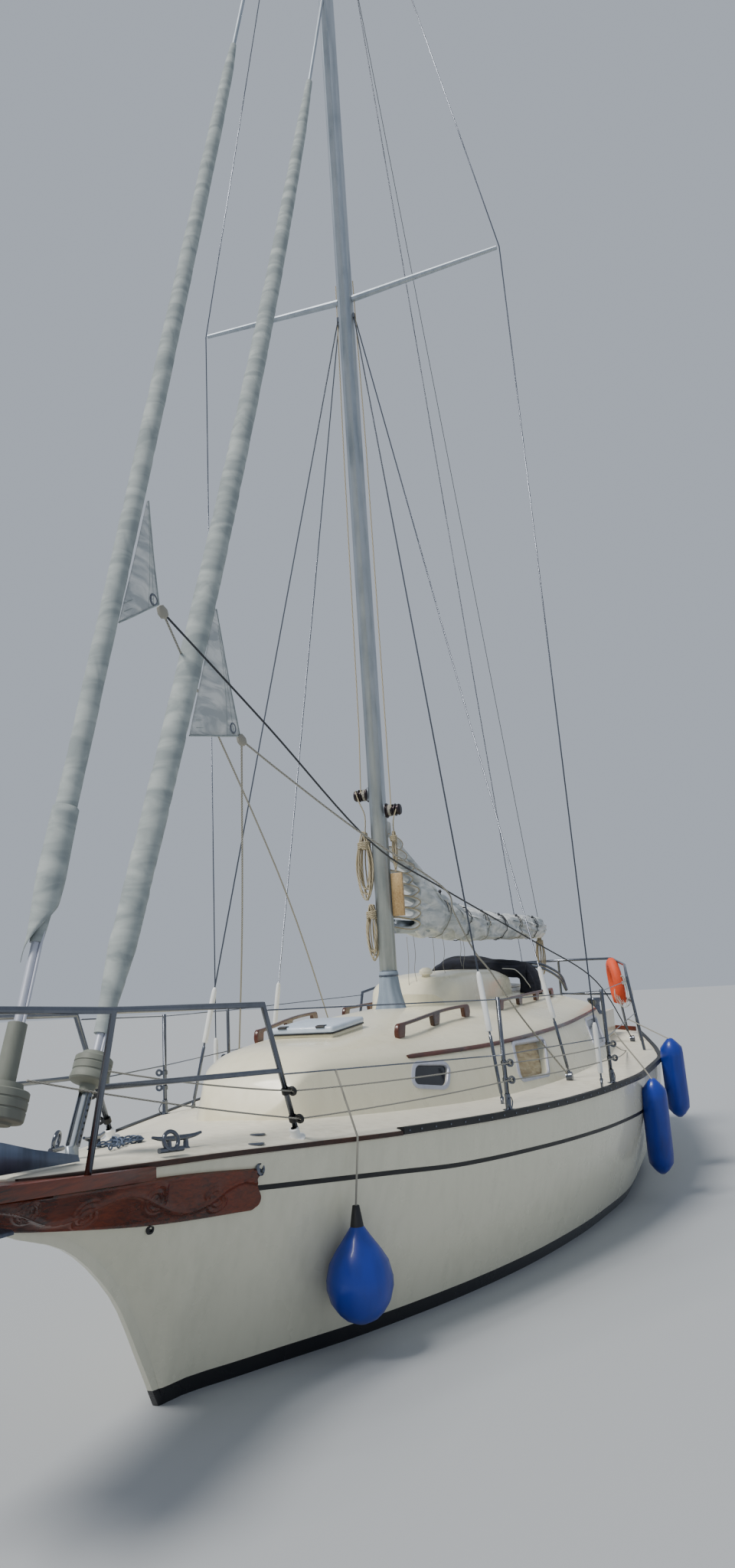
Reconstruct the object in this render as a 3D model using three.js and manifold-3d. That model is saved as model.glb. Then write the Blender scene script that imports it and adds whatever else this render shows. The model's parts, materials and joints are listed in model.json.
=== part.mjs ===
// Sailing yacht: a clipper-bowed cutter with a full keel, built at real size.
// Millimetres. +X is forward, +Y is port and +Z is up.
// The origin is on the waterline plane, on the centreline, at the mast.
import * as THREE from 'three';
import { mergeVertices } from 'three/addons/utils/BufferGeometryUtils.js';
import Module from 'manifold-3d';

const wasm = await Module();
wasm.setup();
const { Manifold, Mesh } = wasm;
const vec = (x, y, z) => new THREE.Vector3(x, y, z);
const UP = vec(0, 0, 1);
const yacht = new THREE.Group();

// Gap that touching pieces keep.
const GAP = 0.3;

// Finishes
const finish = (color, roughness, metalness = 0) =>
  new THREE.MeshStandardMaterial({ color, roughness, metalness });
const GELCOAT = finish(0xe9e6da, 0.3);
const DECK_PAINT = finish(0xdedfd8, 0.5);
const TEAK = finish(0x5a2a18, 0.35);
const BLACK_RAIL = finish(0x15161a, 0.4);
const STAINLESS = finish(0xc9ccd0, 0.25, 1);
const GALVANISED = finish(0x7e8894, 0.55, 0.8);
const ANODISED = finish(0x9ea8b4, 0.4, 0.8);
const SAILCLOTH = finish(0xcfd3d0, 0.85);
const DRUM_GREY = finish(0x6f7672, 0.6);
const CANVAS_NAVY = finish(0x12172c, 0.9);
const BOOT_GREY = finish(0x8d9aa8, 0.85);
const LID_GREY = finish(0xaebac6, 0.35);
const BRONZE = finish(0xa87b3e, 0.35, 1);
const ANTIFOUL = finish(0x3a1618, 0.8);
const FENDER_BLUE = finish(0x1438b0, 0.4);
const LIFE_ORANGE = finish(0xe2461f, 0.7);

// Booleans and joins

// A geometry as a manifold-3d solid.
function solid(geometry) {
  const bare = new THREE.BufferGeometry();
  const flat = geometry.index ? geometry.toNonIndexed() : geometry;
  bare.setAttribute('position', flat.getAttribute('position'));
  const merged = mergeVertices(bare, 1e-3);
  const corners = [];
  for (let i = 0; i < merged.index.count; i += 3) {
    const [a, b, c] = [0, 1, 2].map((k) => merged.index.getX(i + k));
    if (a !== b && b !== c && c !== a) corners.push(a, b, c);
  }
  return new Manifold(new Mesh({
    numProp: 3,
    vertProperties: merged.attributes.position.array,
    triVerts: new Uint32Array(corners),
  }));
}

// A manifold-3d solid as a three.js geometry.
function geometryOf(body) {
  const mesh = body.getMesh();
  const geometry = new THREE.BufferGeometry();
  const count = mesh.numProp;
  const points = new Float32Array((mesh.vertProperties.length / count) * 3);
  for (let i = 0; i < points.length / 3; i += 1) {
    points[3 * i] = mesh.vertProperties[count * i];
    points[3 * i + 1] = mesh.vertProperties[count * i + 1];
    points[3 * i + 2] = mesh.vertProperties[count * i + 2];
  }
  geometry.setAttribute('position', new THREE.BufferAttribute(points, 3));
  geometry.setIndex(new THREE.BufferAttribute(new Uint32Array(mesh.triVerts), 1));
  const shaded = geometry.toNonIndexed();
  shaded.computeVertexNormals();
  return shaded;
}

const asSolid = (shape) => (shape.isBufferGeometry ? solid(shape) : shape);
const fuse = (pieces) => Manifold.union(pieces.map(asSolid));
// The biggest separate body of a solid, without the slivers that a cut can leave.
const largest = (body) => body.decompose().sort((a, b) => b.volume() - a.volume())[0];
const cut = (body, tools) => tools.reduce((left, tool) => left.subtract(tool), body);

function add(name, shape, material) {
  const geometry = shape.isBufferGeometry ? shape : geometryOf(shape);
  const mesh = new THREE.Mesh(geometry, material);
  mesh.name = name;
  yacht.add(mesh);
  return mesh;
}

// Basic shapes

function box(x0, x1, y0, y1, z0, z1) {
  const shape = new THREE.BoxGeometry(x1 - x0, y1 - y0, z1 - z0);
  return shape.translate((x0 + x1) / 2, (y0 + y1) / 2, (z0 + z1) / 2);
}

// A round rod between two points. radius1 is the radius at its far end.
function rod(from, to, radius, sides = 8, radius1 = radius) {
  const run = to.clone().sub(from);
  const shape = new THREE.CylinderGeometry(radius1, radius, run.length(), sides);
  shape.translate(0, run.length() / 2, 0);
  const turn = new THREE.Quaternion().setFromUnitVectors(vec(0, 1, 0), run.normalize());
  return shape.applyQuaternion(turn).translate(from.x, from.y, from.z);
}

const ball = (centre, radius, sides = 8) =>
  new THREE.SphereGeometry(radius, sides, 6).translate(centre.x, centre.y, centre.z);

// A tube through a list of points, mitred at each corner.
function pipe(points, radius, sides = 8) {
  const last = points.length - 1;
  const runs = points.slice(1).map((point, i) => point.clone().sub(points[i]).normalize());
  let side = vec(runs[0].y + 0.31, runs[0].z + 0.17, -runs[0].x + 0.23).cross(runs[0]).normalize();
  const rings = points.map((point, i) => {
    const [before, after] = [runs[Math.max(0, i - 1)], runs[Math.min(last - 1, i)]];
    const middle = before.clone().add(after).normalize();
    const stretch = 1 / Math.max(0.3, middle.dot(after));
    side = side.clone().addScaledVector(middle, -side.dot(middle)).normalize();
    const lift = middle.clone().cross(side);
    const bend = after.clone().sub(before);
    const wide = bend.length() > 1e-6 ? bend.normalize() : side.clone();
    return Array.from({ length: sides }, (_, k) => {
      const turn = ((k + 0.5) / sides) * Math.PI * 2;
      const arm = side.clone().multiplyScalar(Math.cos(turn)).addScaledVector(lift, Math.sin(turn));
      arm.addScaledVector(wide, arm.dot(wide) * (stretch - 1));
      return point.clone().addScaledVector(arm, radius);
    });
  });
  return loft(rings);
}

// A lathed shape on the line from one point to another. profile rows are [share of length, radius].
function turned(from, to, profile, sides = 12) {
  const run = to.clone().sub(from);
  const length = run.length();
  const outline = profile.map(([share, radius]) => new THREE.Vector2(radius, share * length));
  const ends = [new THREE.Vector2(0, outline[0].y), ...outline,
    new THREE.Vector2(0, outline[outline.length - 1].y)];
  const turn = new THREE.Quaternion().setFromUnitVectors(vec(0, 1, 0), run.normalize());
  const shape = new THREE.LatheGeometry(ends, sides);
  return shape.applyQuaternion(turn).translate(from.x, from.y, from.z);
}

// A flat plate cut from a side outline of [x, z] points, between two y values.
function sidePlate(outline, y0, y1) {
  const flat = new THREE.Shape(outline.map(([x, z]) => new THREE.Vector2(x, z)));
  const shape = new THREE.ExtrudeGeometry(flat, { depth: y1 - y0, bevelEnabled: false });
  return shape.rotateX(Math.PI / 2).translate(0, y1, 0);
}

// A closed loft through rings of points, all with the same number of points.
// Points i and n-1-i of a ring face each other, so the caps are ladders, and the second half of
// each ring is split the other way round, so that port and starboard mirror each other. A pair may
// be one point on the centreline.
function loft(rings) {
  const size = rings[0].length;
  const points = rings.flat().flatMap((p) => [p.x, p.y, p.z]);
  const faces = [];
  for (let r = 0; r + 1 < rings.length; r += 1) {
    for (let i = 0; i < size; i += 1) {
      const a = r * size + i;
      const b = r * size + ((i + 1) % size);
      if (i < size / 2) faces.push(a, a + size, b, b, a + size, b + size);
      else faces.push(a, a + size, b + size, a, b + size, b);
    }
  }
  for (const [start, flip] of [[0, false], [(rings.length - 1) * size, true]]) {
    for (let i = 0; i < size / 2 - 1; i += 1) {
      const [a, b, c, d] = [i, i + 1, size - 2 - i, size - 1 - i].map((k) => start + k);
      if (flip) faces.push(a, c, b, a, d, c);
      else faces.push(a, b, c, a, c, d);
    }
  }
  const geometry = new THREE.BufferGeometry();
  geometry.setAttribute('position', new THREE.Float32BufferAttribute(points, 3));
  geometry.setIndex(faces);
  const body = solid(geometry);
  return body.volume() > 0 ? body : solid(turnedInsideOut(geometry));
}

function turnedInsideOut(geometry) {
  const index = Array.from(geometry.index.array);
  for (let i = 0; i < index.length; i += 3) {
    [index[i + 1], index[i + 2]] = [index[i + 2], index[i + 1]];
  }
  geometry.setIndex(index);
  return geometry;
}

// Value of one column of a table at x, the table's rows running from the bow aft.
function at(table, column, x) {
  const row = Math.max(1, table.findIndex((entry) => entry.x <= x));
  const last = table.length - 1;
  const k = table[last].x > x ? last : row;
  const [a, b] = [table[k - 1], table[k]];
  const t = (a.x - x) / (a.x - b.x);
  return a[column] + (b[column] - a[column]) * t;
}

// Hull

// Columns: station, profile bottom, canoe body bottom, half thickness of the keel,
// half breadth on the waterline, half breadth and height of the sheer, fullness of the topside.
const HULL = [
  [4080, 985, 990, 12, 0, 60, 1082, 1.0],
  [3940, 880, 900, 14, 0, 118, 1070, 1.0],
  [3610, 750, 790, 16, 0, 205, 1042, 1.0],
  [3310, 500, 560, 20, 0, 285, 1018, 1.0],
  [3100, 150, 230, 24, 0, 345, 1002, 0.95],
  [2990, -40, 20, 28, 40, 385, 994, 0.9],
  [2630, -360, -200, 40, 205, 545, 968, 1.0],
  [2050, -660, -330, 60, 540, 815, 930, 1.2],
  [1210, -905, -440, 85, 910, 1125, 887, 1.5],
  [550, -1010, -500, 100, 1110, 1320, 868, 1.7],
  [-170, -1050, -540, 110, 1250, 1465, 858, 1.9],
  [-980, -1060, -560, 110, 1330, 1545, 851, 2.0],
  [-1870, -1068, -540, 100, 1290, 1540, 850, 2.0],
  [-2700, -1070, -430, 75, 1120, 1430, 858, 1.9],
  [-2800, -1072, -400, 70, 1090, 1412, 860, 1.9],
  [-3400, -150, -140, 40, 820, 1290, 872, 1.7],
  [-3640, 20, 24, 30, 560, 1236, 882, 1.5],
].map(([x, keelZ, canoeZ, keelY, waterY, sheerY, sheerZ, full]) =>
  ({ x, keelZ, canoeZ, keelY, waterY, sheerY, sheerZ, full }));
const TRANSOM = { x: -4300, lean: 300, sheerY: 1080, sheerZ: 910, bottomZ: 330 };
const DECK_THICK = 30;
const DECK_CAMBER = 70;
const DECK_LIP = 4;

// Deck height at a point, on the deck's top face.
function deckZ(x, y) {
  const edge = sheerY(x);
  return sheerZ(x) + DECK_CAMBER * (1 - (y / edge) ** 2) * Math.min(1, edge / 900);
}

const SHEER = [...HULL, { x: TRANSOM.x, sheerY: TRANSOM.sheerY, sheerZ: TRANSOM.sheerZ }];
const sheerY = (x) => at(SHEER, 'sheerY', x);
const sheerZ = (x) => at(SHEER, 'sheerZ', x);

// One hull section, from the middle of the top down to the keel and up the other side.
function hullSection(row) {
  const { x, keelZ, canoeZ, keelY, waterY, sheerY: ys, sheerZ: zs, full } = row;
  const top = zs - DECK_THICK;
  const crown = DECK_CAMBER * Math.min(1, ys / 900);
  const half = [[0, top + crown], [ys * 0.5, top + crown * 0.75], [ys, top]];
  const foot = Math.max(0, canoeZ);
  const footY = canoeZ > 0 ? keelY : waterY;
  for (const share of [0.72, 0.45, 0.2]) {
    const rise = footY + (ys - footY) * (1 - (1 - share) ** full);
    half.push([rise, foot + (top - foot) * share]);
  }
  half.push([footY + 0.2, foot + 0.5]);
  const deep = Math.min(0, canoeZ);
  for (const share of [0.25, 0.5, 0.75]) {
    const y = keelY + (footY - keelY) * (1 - share ** 1.7) ** 0.9;
    half.push([y, Math.min(foot, 0) + deep * share - (canoeZ > 0 ? -foot + share : 0)]);
  }
  half.push([keelY, canoeZ - (canoeZ > 0 ? 1.5 : 0.6)]);
  half.push([keelY * 0.8, (canoeZ + keelZ) / 2 - 2]);
  half.push([keelY * 0.5, keelZ - 2.5]);
  half.push([0, keelZ - 3]);
  const port = half.map(([y, z]) => vec(x, y, z));
  const starboard = half.map(([y, z]) => vec(x, -y, z)).reverse();
  return [...port, ...starboard];
}

// The transom leans aft, so its ring is a section whose points slide forward with depth.
function transomRing() {
  const { x, lean, sheerY: ys, sheerZ: zs, bottomZ } = TRANSOM;
  const row = { x, keelZ: bottomZ, canoeZ: bottomZ + 4, keelY: 20, waterY: 0,
    sheerY: ys, sheerZ: zs, full: 2.4 };
  const rim = zs - DECK_THICK;
  return hullSection(row).map((p) => vec(x + lean * Math.max(0, 1 - p.z / rim), p.y, p.z));
}

// Cabin trunk: half breadth at the deck, at the coachroof edge, height of edge and crown, and the
// fullness of the roof, which is the power of its curve from crown to edge.
const CABIN = [
  [2205, 110, 95, 1008, 1012, 2],
  [2165, 250, 215, 1075, 1090, 2.4],
  [2110, 310, 262, 1150, 1180, 2.8],
  [2030, 360, 300, 1205, 1255, 3],
  [1920, 428, 350, 1222, 1303, 3.2],
  [1800, 495, 405, 1222, 1322, 3.4],
  [1600, 590, 490, 1215, 1330, 3.2],
  [1350, 690, 590, 1206, 1342, 2.8],
  [1000, 830, 710, 1205, 1366, 2.1],
  [330, 1010, 875, 1212, 1418, 2],
  [-420, 1110, 950, 1220, 1430, 2],
  [-1300, 1150, 985, 1238, 1440, 2],
  [-2000, 1140, 980, 1256, 1448, 2],
  [-2550, 1100, 960, 1272, 1452, 2],
].map(([x, baseY, edgeY, edgeZ, crownZ, full]) => ({ x, baseY, edgeY, edgeZ, crownZ, full }));
const CABIN_WALL = 35;
const CABIN_AFT = -2550;

// Coachroof height at a point.
function roofZ(x, y) {
  const edge = at(CABIN, 'edgeY', x);
  const rise = at(CABIN, 'crownZ', x) - at(CABIN, 'edgeZ', x);
  return at(CABIN, 'edgeZ', x) + rise * (1 - Math.min(1, Math.abs(y / edge) ** at(CABIN, 'full', x)));
}

// A section of the cabin, shrunk by inset. Its sides slope to baseZ and then drop by sink.
function cabinSection(row, inset, baseZ, sink = 0) {
  const { x, baseY, edgeY, edgeZ, crownZ, full } = row;
  const rise = crownZ - edgeZ;
  const half = [[0, crownZ - inset]];
  for (const share of [0.45, 0.75, 0.92]) {
    half.push([(edgeY - inset) * share, edgeZ + rise * (1 - share ** full) - inset]);
  }
  half.push([edgeY - inset * 1.1, edgeZ - inset]);
  half.push([baseY - inset, baseZ]);
  if (sink) half.push([baseY - inset, baseZ - sink]);
  half.push([0, baseZ - sink - 0.5]);
  const port = half.map(([y, z]) => vec(x, y, z));
  const starboard = half.map(([y, z]) => vec(x, -y, z)).reverse();
  return [...port, ...starboard];
}

// The cabin's foot starts a little below the deck's top face, and is then cut to it.
const cabinFootZ = (x) => deckZ(x, at(CABIN, 'baseY', x)) - 12;

const cabinOuter = () => loft(CABIN.map((row) => cabinSection(row, 0, cabinFootZ(row.x))));

const cabinShape = cabinOuter();

function cabinInner() {
  const rows = CABIN.filter((row) => row.x < 2100 && row.x > CABIN_AFT + 10);
  const aft = { ...CABIN[CABIN.length - 1], x: CABIN_AFT + CABIN_WALL };
  return loft([...rows, aft].map((row) => cabinSection(row, CABIN_WALL, cabinFootZ(row.x), 200)));
}

// Cockpit and cabin wells inside the hull
const COCKPIT = { fore: -2600, aft: -3950, soleZ: 520, seatZ: 800, footY: 330, sideY: 900, coamZ: 1160 };
// Aft of stepX the hull rises under the seats, so the cockpit is shallower there beside its foot well.
const STERN_SEATS = { stepX: -3540, bottomZ: 660, wellY: 390, wellAft: -3750 };
const CABIN_SOLE_Z = -150;

const hullShell = loft([...HULL.map(hullSection), transomRing()]);

// Rudder hung behind the keel's sloping aft edge. Its axis runs from heel to head.
const RUDDER = { heel: vec(-2870, 0, -1075), head: vec(-3500, 0, -105), pinLowZ: -1062, stockHighZ: -128 };
// Columns: height, chord, half thickness.
const RUDDER_SECTIONS = [
  [-1040, 330, 30],
  [-800, 470, 34],
  [-450, 470, 38],
  [-190, 330, 38],
];

function onRudderAxis(z, along = 0) {
  const share = (z - RUDDER.heel.z) / (RUDDER.head.z - RUDDER.heel.z);
  const point = RUDDER.heel.clone().lerp(RUDDER.head, share);
  const run = RUDDER.head.clone().sub(RUDDER.heel).normalize();
  return point.addScaledVector(run, along);
}

// The tube that the rudder stock enters, and the shoe under its heel pin.
function rudderBearings() {
  const tube = rod(onRudderAxis(RUDDER.stockHighZ, GAP), onRudderAxis(-20), 36, 12);
  const cup = rod(onRudderAxis(RUDDER.pinLowZ, -22), onRudderAxis(RUDDER.pinLowZ, -GAP), 27, 12);
  const shoe = box(-2905, -2760, -28, 28, -1092, -1074);
  return [tube, cup, shoe].map(solid);
}

// Propeller aperture in the keel: from this station aft, between these heights.
const APERTURE = { fore: -2940, aft: -3500, low: -778, high: -342 };

function hullBody() {
  const side = COCKPIT.sideY + 40;
  const { stepX, bottomZ, wellY, wellAft } = STERN_SEATS;
  const wells = [
    box(APERTURE.aft, APERTURE.fore, -200, 200, APERTURE.low, APERTURE.high),
    box(stepX - 20, COCKPIT.fore + 30, -side, side, COCKPIT.soleZ - 40, 1500),
    box(COCKPIT.aft - 40, stepX, -side, side, bottomZ - 10, 1500),
    box(wellAft - 10, stepX, -wellY - 10, wellY + 10, COCKPIT.soleZ - 40, 1500),
    box(900, 1700, -360, 360, 250, 1500),
    box(0, 900.5, -600, 600, CABIN_SOLE_Z, 1500),
    box(-2480, 0.5, -900, 900, CABIN_SOLE_Z, 1500),
  ];
  return Manifold.union([cut(hullShell, wells.map(solid)), ...rudderBearings()]);
}

function deckBody() {
  const rows = [...HULL.filter((row) => row.x > -3700), { ...SHEER[SHEER.length - 1] }];
  const edge = DECK_LIP;
  const rings = rows.map((row) => {
    const ys = row.sheerY + edge;
    const crown = DECK_CAMBER * Math.min(1, row.sheerY / 900);
    const top = [[0, row.sheerZ + crown], [ys * 0.5, row.sheerZ + crown * 0.75], [ys, row.sheerZ]];
    const under = top.map(([y, z]) => [y, z - DECK_THICK - (y < ys ? 2 : -GAP)]).reverse();
    const half = [...top, ...under];
    const port = half.map(([y, z]) => vec(row.x, y, z));
    return [...port, ...half.map(([y, z]) => vec(row.x, -y, z)).reverse()];
  });
  const holeRows = CABIN.filter((row) => row.x < 2100);
  const hole = loft(holeRows.map((row) => {
    const y = row.baseY - CABIN_WALL - 6;
    const half = [[0, 1500], [y, 1500], [y, 600], [0, 600]];
    const x = Math.max(row.x, CABIN_AFT + CABIN_WALL + 6);
    return [...half.map(([a, b]) => vec(x, a, b)),
      ...half.map(([a, b]) => vec(x, -a, b)).reverse()];
  }));
  const cockpitHole = solid(box(COCKPIT.aft - 1, COCKPIT.fore - 20, -COCKPIT.sideY - 1,
    COCKPIT.sideY + 1, 400, 1600));
  return cut(loft(rings), [hole, cockpitHole, hullShell.translate([0, 0, GAP])]);
}

const deckSolid = deckBody();

// Cockpit tub with two side seats and coamings, one moulding.
const LOCKER = { fore: -2760, aft: -3520, inY: 400, outY: 840, thick: 20 };

function cockpitTub() {
  const { fore, aft, soleZ, seatZ, footY, sideY, coamZ } = COCKPIT;
  const wall = 30;
  const out = sideY - GAP;
  const { stepX, bottomZ, wellY, wellAft } = STERN_SEATS;
  const body = Manifold.union([
    box(stepX, fore - 20 - GAP, -out, out, soleZ - 30, seatZ),
    box(aft + GAP, stepX + 1, -out, out, bottomZ, seatZ),
    box(wellAft, stepX + 1, -wellY, wellY, soleZ - 30, seatZ),
  ].map(solid));
  const foot = solid(box(aft + 260, fore - 60, -footY, footY, soleZ, 1400));
  const coamings = [-1, 1].map((side) => {
    const [y0, y1] = side > 0 ? [out - 55, out] : [-out, -out + 55];
    return solid(box(aft + GAP, fore - 20 - GAP, y0, y1, seatZ - 5, coamZ));
  });
  const bridge = solid(box(aft + GAP, aft + 60, -out, out, seatZ - 5, coamZ - 120));
  const bins = [-1, 1].map((side) => {
    const inner = side * (LOCKER.inY + 40);
    const outer = side * (LOCKER.outY - 30);
    return solid(box(LOCKER.aft + 40, LOCKER.fore - 40, Math.min(inner, outer),
      Math.max(inner, outer), soleZ + wall, seatZ + 1));
  });
  const rebates = [-1, 1].map((side) => {
    const inner = side * LOCKER.inY;
    const outer = side * LOCKER.outY;
    return solid(box(LOCKER.aft, LOCKER.fore, Math.min(inner, outer), Math.max(inner, outer),
      seatZ - LOCKER.thick, seatZ + 1));
  });
  const joined = Manifold.union([body.subtract(foot), ...coamings, bridge]);
  return cut(joined, [...bins, ...rebates]);
}

// Windows: each is a raked outline of [x, z] in the cabin side.
const WINDOWS = [
  { name: 'fore', outline: [[1062, 1128], [1325, 1158], [1392, 1060], [1152, 1020]] },
  { name: 'main', outline: [[-330, 1150], [245, 1165], [372, 965], [-80, 950]] },
  { name: 'aft', outline: [[-2280, 1180], [-1750, 1176], [-1600, 985], [-2130, 985]] },
];

// Fore hatch
const FORE_HATCH = { aft: 985, fore: 1467, halfY: 195, aftZ: 1378, foreZ: 1352, lidThick: 42 };

// Companionway: the hatch opening in the roof and the doorway in the aft bulkhead.
const COMPANION = { fore: -1980, halfY: 320, lidFore: -1900, lidAft: -2530, lidZ: 1462, lidThick: 30 };

function cabinTrunk() {
  const holes = [];
  for (const { outline } of WINDOWS) {
    holes.push(solid(sidePlate(outline, 400, 1400)));
    holes.push(solid(sidePlate(outline, -1400, -400)));
  }
  const { aft, fore, halfY } = FORE_HATCH;
  holes.push(solid(box(aft + 60, fore - 60, -halfY + 60, halfY - 60, 1100, 1600)));
  const way = COMPANION;
  holes.push(solid(box(CABIN_AFT + 60, way.fore, -way.halfY + 40, way.halfY - 40, 1200, 1700)));
  holes.push(solid(box(CABIN_AFT - 60, CABIN_AFT + 61, -way.halfY + 40, way.halfY - 40, 990, 1700)));
  const seats = [deckSolid, hullShell].map((body) => body.translate([0, 0, GAP]));
  const joined = Manifold.union([cabinShape.subtract(cabinInner()), ...runners()]);
  return largest(cut(joined, [...holes, ...seats]));
}

// Spars and standing rigging

const MAST = { footZ: 1380, headZ: 12450, radiusX: 78, radiusY: 58 };
const SPREADER = { rootZ: 6850, tipZ: 6906, tipY: 1226, rootRadius: 26, tipRadius: 15 };
const WIRE = 5;

// A stay runs from foot to head and sags by this much at its middle, square to its own line.
const OUTER_STAY = { foot: vec(4010, 0, 1100), head: vec(105, 0, 12400), sag: 25 };
const INNER_STAY = { foot: vec(3540, 0, 1090), head: vec(84, 0, 9530), sag: 130 };
const BACKSTAY = { foot: vec(-4238, 0, 1000), head: vec(-110, 0, 12400), sag: 0 };

// A point a share of the way up a stay.
function onStay({ foot, head, sag }, share) {
  const run = head.clone().sub(foot).normalize();
  const down = vec(-run.z, 0, run.x);
  return foot.clone().lerp(head, share).addScaledVector(down, sag * 4 * share * (1 - share));
}

// A round body along part of a stay. rows are [share up the stay, radius].
function stayBody(stay, rows, sides) {
  const rings = rows.map(([share, radius]) => {
    const centre = onStay(stay, share);
    const run = stay.head.clone().sub(stay.foot).normalize();
    const out = vec(run.z, 0, -run.x);
    return Array.from({ length: sides }, (_, i) => {
      const turn = ((i + 0.5) / sides) * Math.PI * 2;
      return centre.clone().addScaledVector(out, radius * Math.cos(turn))
        .add(vec(0, radius * Math.sin(turn), 0));
    });
  });
  return loft(rings);
}

const onSide = (body, side) => (side > 0 ? body : body.mirror([0, 1, 0]));

// A body with a clearance from each of the others all round.
function clearOf(body, others, gap = GAP) {
  const steps = [[gap, 0, 0], [-gap, 0, 0], [0, gap, 0], [0, -gap, 0], [0, 0, gap], [0, 0, -gap]];
  return others.reduce((left, other) =>
    steps.reduce((rest, step) => rest.subtract(other.translate(step)), left), body);
}

function mastBody() {
  const outline = new THREE.Shape();
  outline.absellipse(0, 0, MAST.radiusX, MAST.radiusY, 0, Math.PI * 2);
  const depth = MAST.headZ - MAST.footZ;
  const section = new THREE.ExtrudeGeometry(outline, { depth, bevelEnabled: false, curveSegments: 12 });
  const head = box(-150, 130, -22, 22, MAST.headZ - 40, MAST.headZ + 12);
  const joined = fuse([section.translate(0, 0, MAST.footZ), head,
    ...SIDES.flatMap(([, side]) => mastWinch(side, side > 0 ? 2800 : 2930))]);
  return Manifold.union([joined, gooseneck()]).subtract(cabinShape.translate([0, 0, GAP]));
}

// Canvas collar at the mast foot. rows are [height, half length, half width].
const BOOT = [[1400, 175, 150], [1470, 165, 140], [1540, 110, 90], [1615, 84, 64]];

function mastBoot() {
  const rings = BOOT.map(([z, rx, ry]) => Array.from({ length: 12 }, (_, i) => {
    const turn = ((i + 0.5) / 12) * Math.PI * 2;
    return vec(rx * Math.cos(turn), ry * Math.sin(turn), z);
  }));
  const core = new THREE.Shape();
  core.absellipse(0, 0, MAST.radiusX + GAP, MAST.radiusY + GAP, 0, Math.PI * 2);
  const bore = new THREE.ExtrudeGeometry(core, { depth: 400, bevelEnabled: false, curveSegments: 12 });
  return cut(loft(rings), [solid(bore.translate(0, 0, 1300)), cabinShape.translate([0, 0, GAP])]);
}

const spreader = (side) => rod(vec(0, side * (MAST.radiusY + 1.6), SPREADER.rootZ),
  vec(0, side * SPREADER.tipY, SPREADER.tipZ), SPREADER.rootRadius, 8, SPREADER.tipRadius);

// Shroud ends, port side. The cap shroud bends over the spreader's tip.
const CAP_SHROUD = { head: vec(0, 75, 12330), tip: vec(0, SPREADER.tipY + 20, SPREADER.tipZ),
  foot: vec(0, 1400, 905) };
const LOWER_HEAD = vec(0, 66, 6700);
const LOWER_FEET = [vec(985, 1005, 925), vec(-330, 1130, 925)];
const mirrored = (point, side) => vec(point.x, side * point.y, point.z);
const SIDES = [['port', 1], ['stbd', -1]];

// A plate on the deck under a shroud's or a stay's foot, as long as the foot is high.
function footPlate(foot, halfX, halfY) {
  return box(foot.x - halfX, foot.x + halfX, foot.y - halfY, foot.y + halfY, foot.z - 110, foot.z + 12);
}
const seated = (pieces) => largest(clearOf(fuse(pieces), [deckSolid, cabinShape]));

function capShroud(side) {
  const route = [CAP_SHROUD.head, CAP_SHROUD.tip, CAP_SHROUD.foot].map((point) => mirrored(point, side));
  return seated([pipe(route, WIRE, 6), footPlate(route[2], 20, 5)]);
}

// Two lower shrouds that share one tang on the mast.
function lowerShrouds(side) {
  const { x, y, z } = LOWER_HEAD;
  const tang = box(x - 20, x + 20, y - 7, y + 7, z - 18, z + 18);
  const wires = LOWER_FEET.map((foot) => rod(foot, vec(x + Math.sign(foot.x) * 9, y, z), WIRE, 6));
  return onSide(seated([tang, ...wires, ...LOWER_FEET.map((foot) => footPlate(foot, 18, 5))]), side);
}

// Evenly spaced values from low to high.
const SHARES = (low, high, count) =>
  Array.from({ length: count + 1 }, (_, i) => low + ((high - low) * i) / count);

// Boom, swung a little to port. It turns about a line through the gooseneck and the masthead.
const BOOM = { axisX: -125, z: 1985, fore: 60, end: 3480, radius: 50, rest: 5.2 };
const boomPoint = (r, side, z) => {
  const turn = THREE.MathUtils.degToRad(BOOM.rest);
  return vec(BOOM.axisX - r * Math.cos(turn) - side * Math.sin(turn),
    r * Math.sin(turn) - side * Math.cos(turn), z);
};
const PIN = { radius: 9, low: 1925, high: 2045, play: 1 };

function gooseneck() {
  const arms = [[1935, 1951], [2019, 2035]].map(([z0, z1]) =>
    box(BOOM.axisX - 22, -MAST.radiusX + 12, -20, 20, z0, z1));
  const back = box(-MAST.radiusX - 14, -MAST.radiusX + 12, -20, 20, 1920, 2050);
  const hole = rod(vec(BOOM.axisX, 0, 1900), vec(BOOM.axisX, 0, 2070), PIN.radius + PIN.play, 12);
  return cut(fuse([...arms, back]), [solid(hole)]);
}

function boomBody() {
  const spar = rod(boomPoint(BOOM.fore, 0, BOOM.z), boomPoint(BOOM.end, 0, BOOM.z), BOOM.radius, 12);
  const tongue = rod(boomPoint(-4, 0, BOOM.z), boomPoint(BOOM.fore + 5, 0, BOOM.z), 22, 8);
  const pin = rod(vec(BOOM.axisX, 0, PIN.low), vec(BOOM.axisX, 0, PIN.high), PIN.radius, 12);
  return fuse([spar, tongue, pin]);
}

// Flaked mainsail on the boom. Columns: distance aft of the pin, half width, underside, top.
const SAIL_STACK = [
  [75, 62, 1918, 2650],
  [280, 105, 1910, 2570],
  [490, 130, 1900, 2465],
  [700, 150, 1900, 2325],
  [1000, 165, 1885, 2215],
  [1500, 160, 1870, 2155],
  [2100, 140, 1885, 2125],
  [2900, 120, 1890, 2115],
  [3420, 90, 1900, 2105],
];

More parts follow.
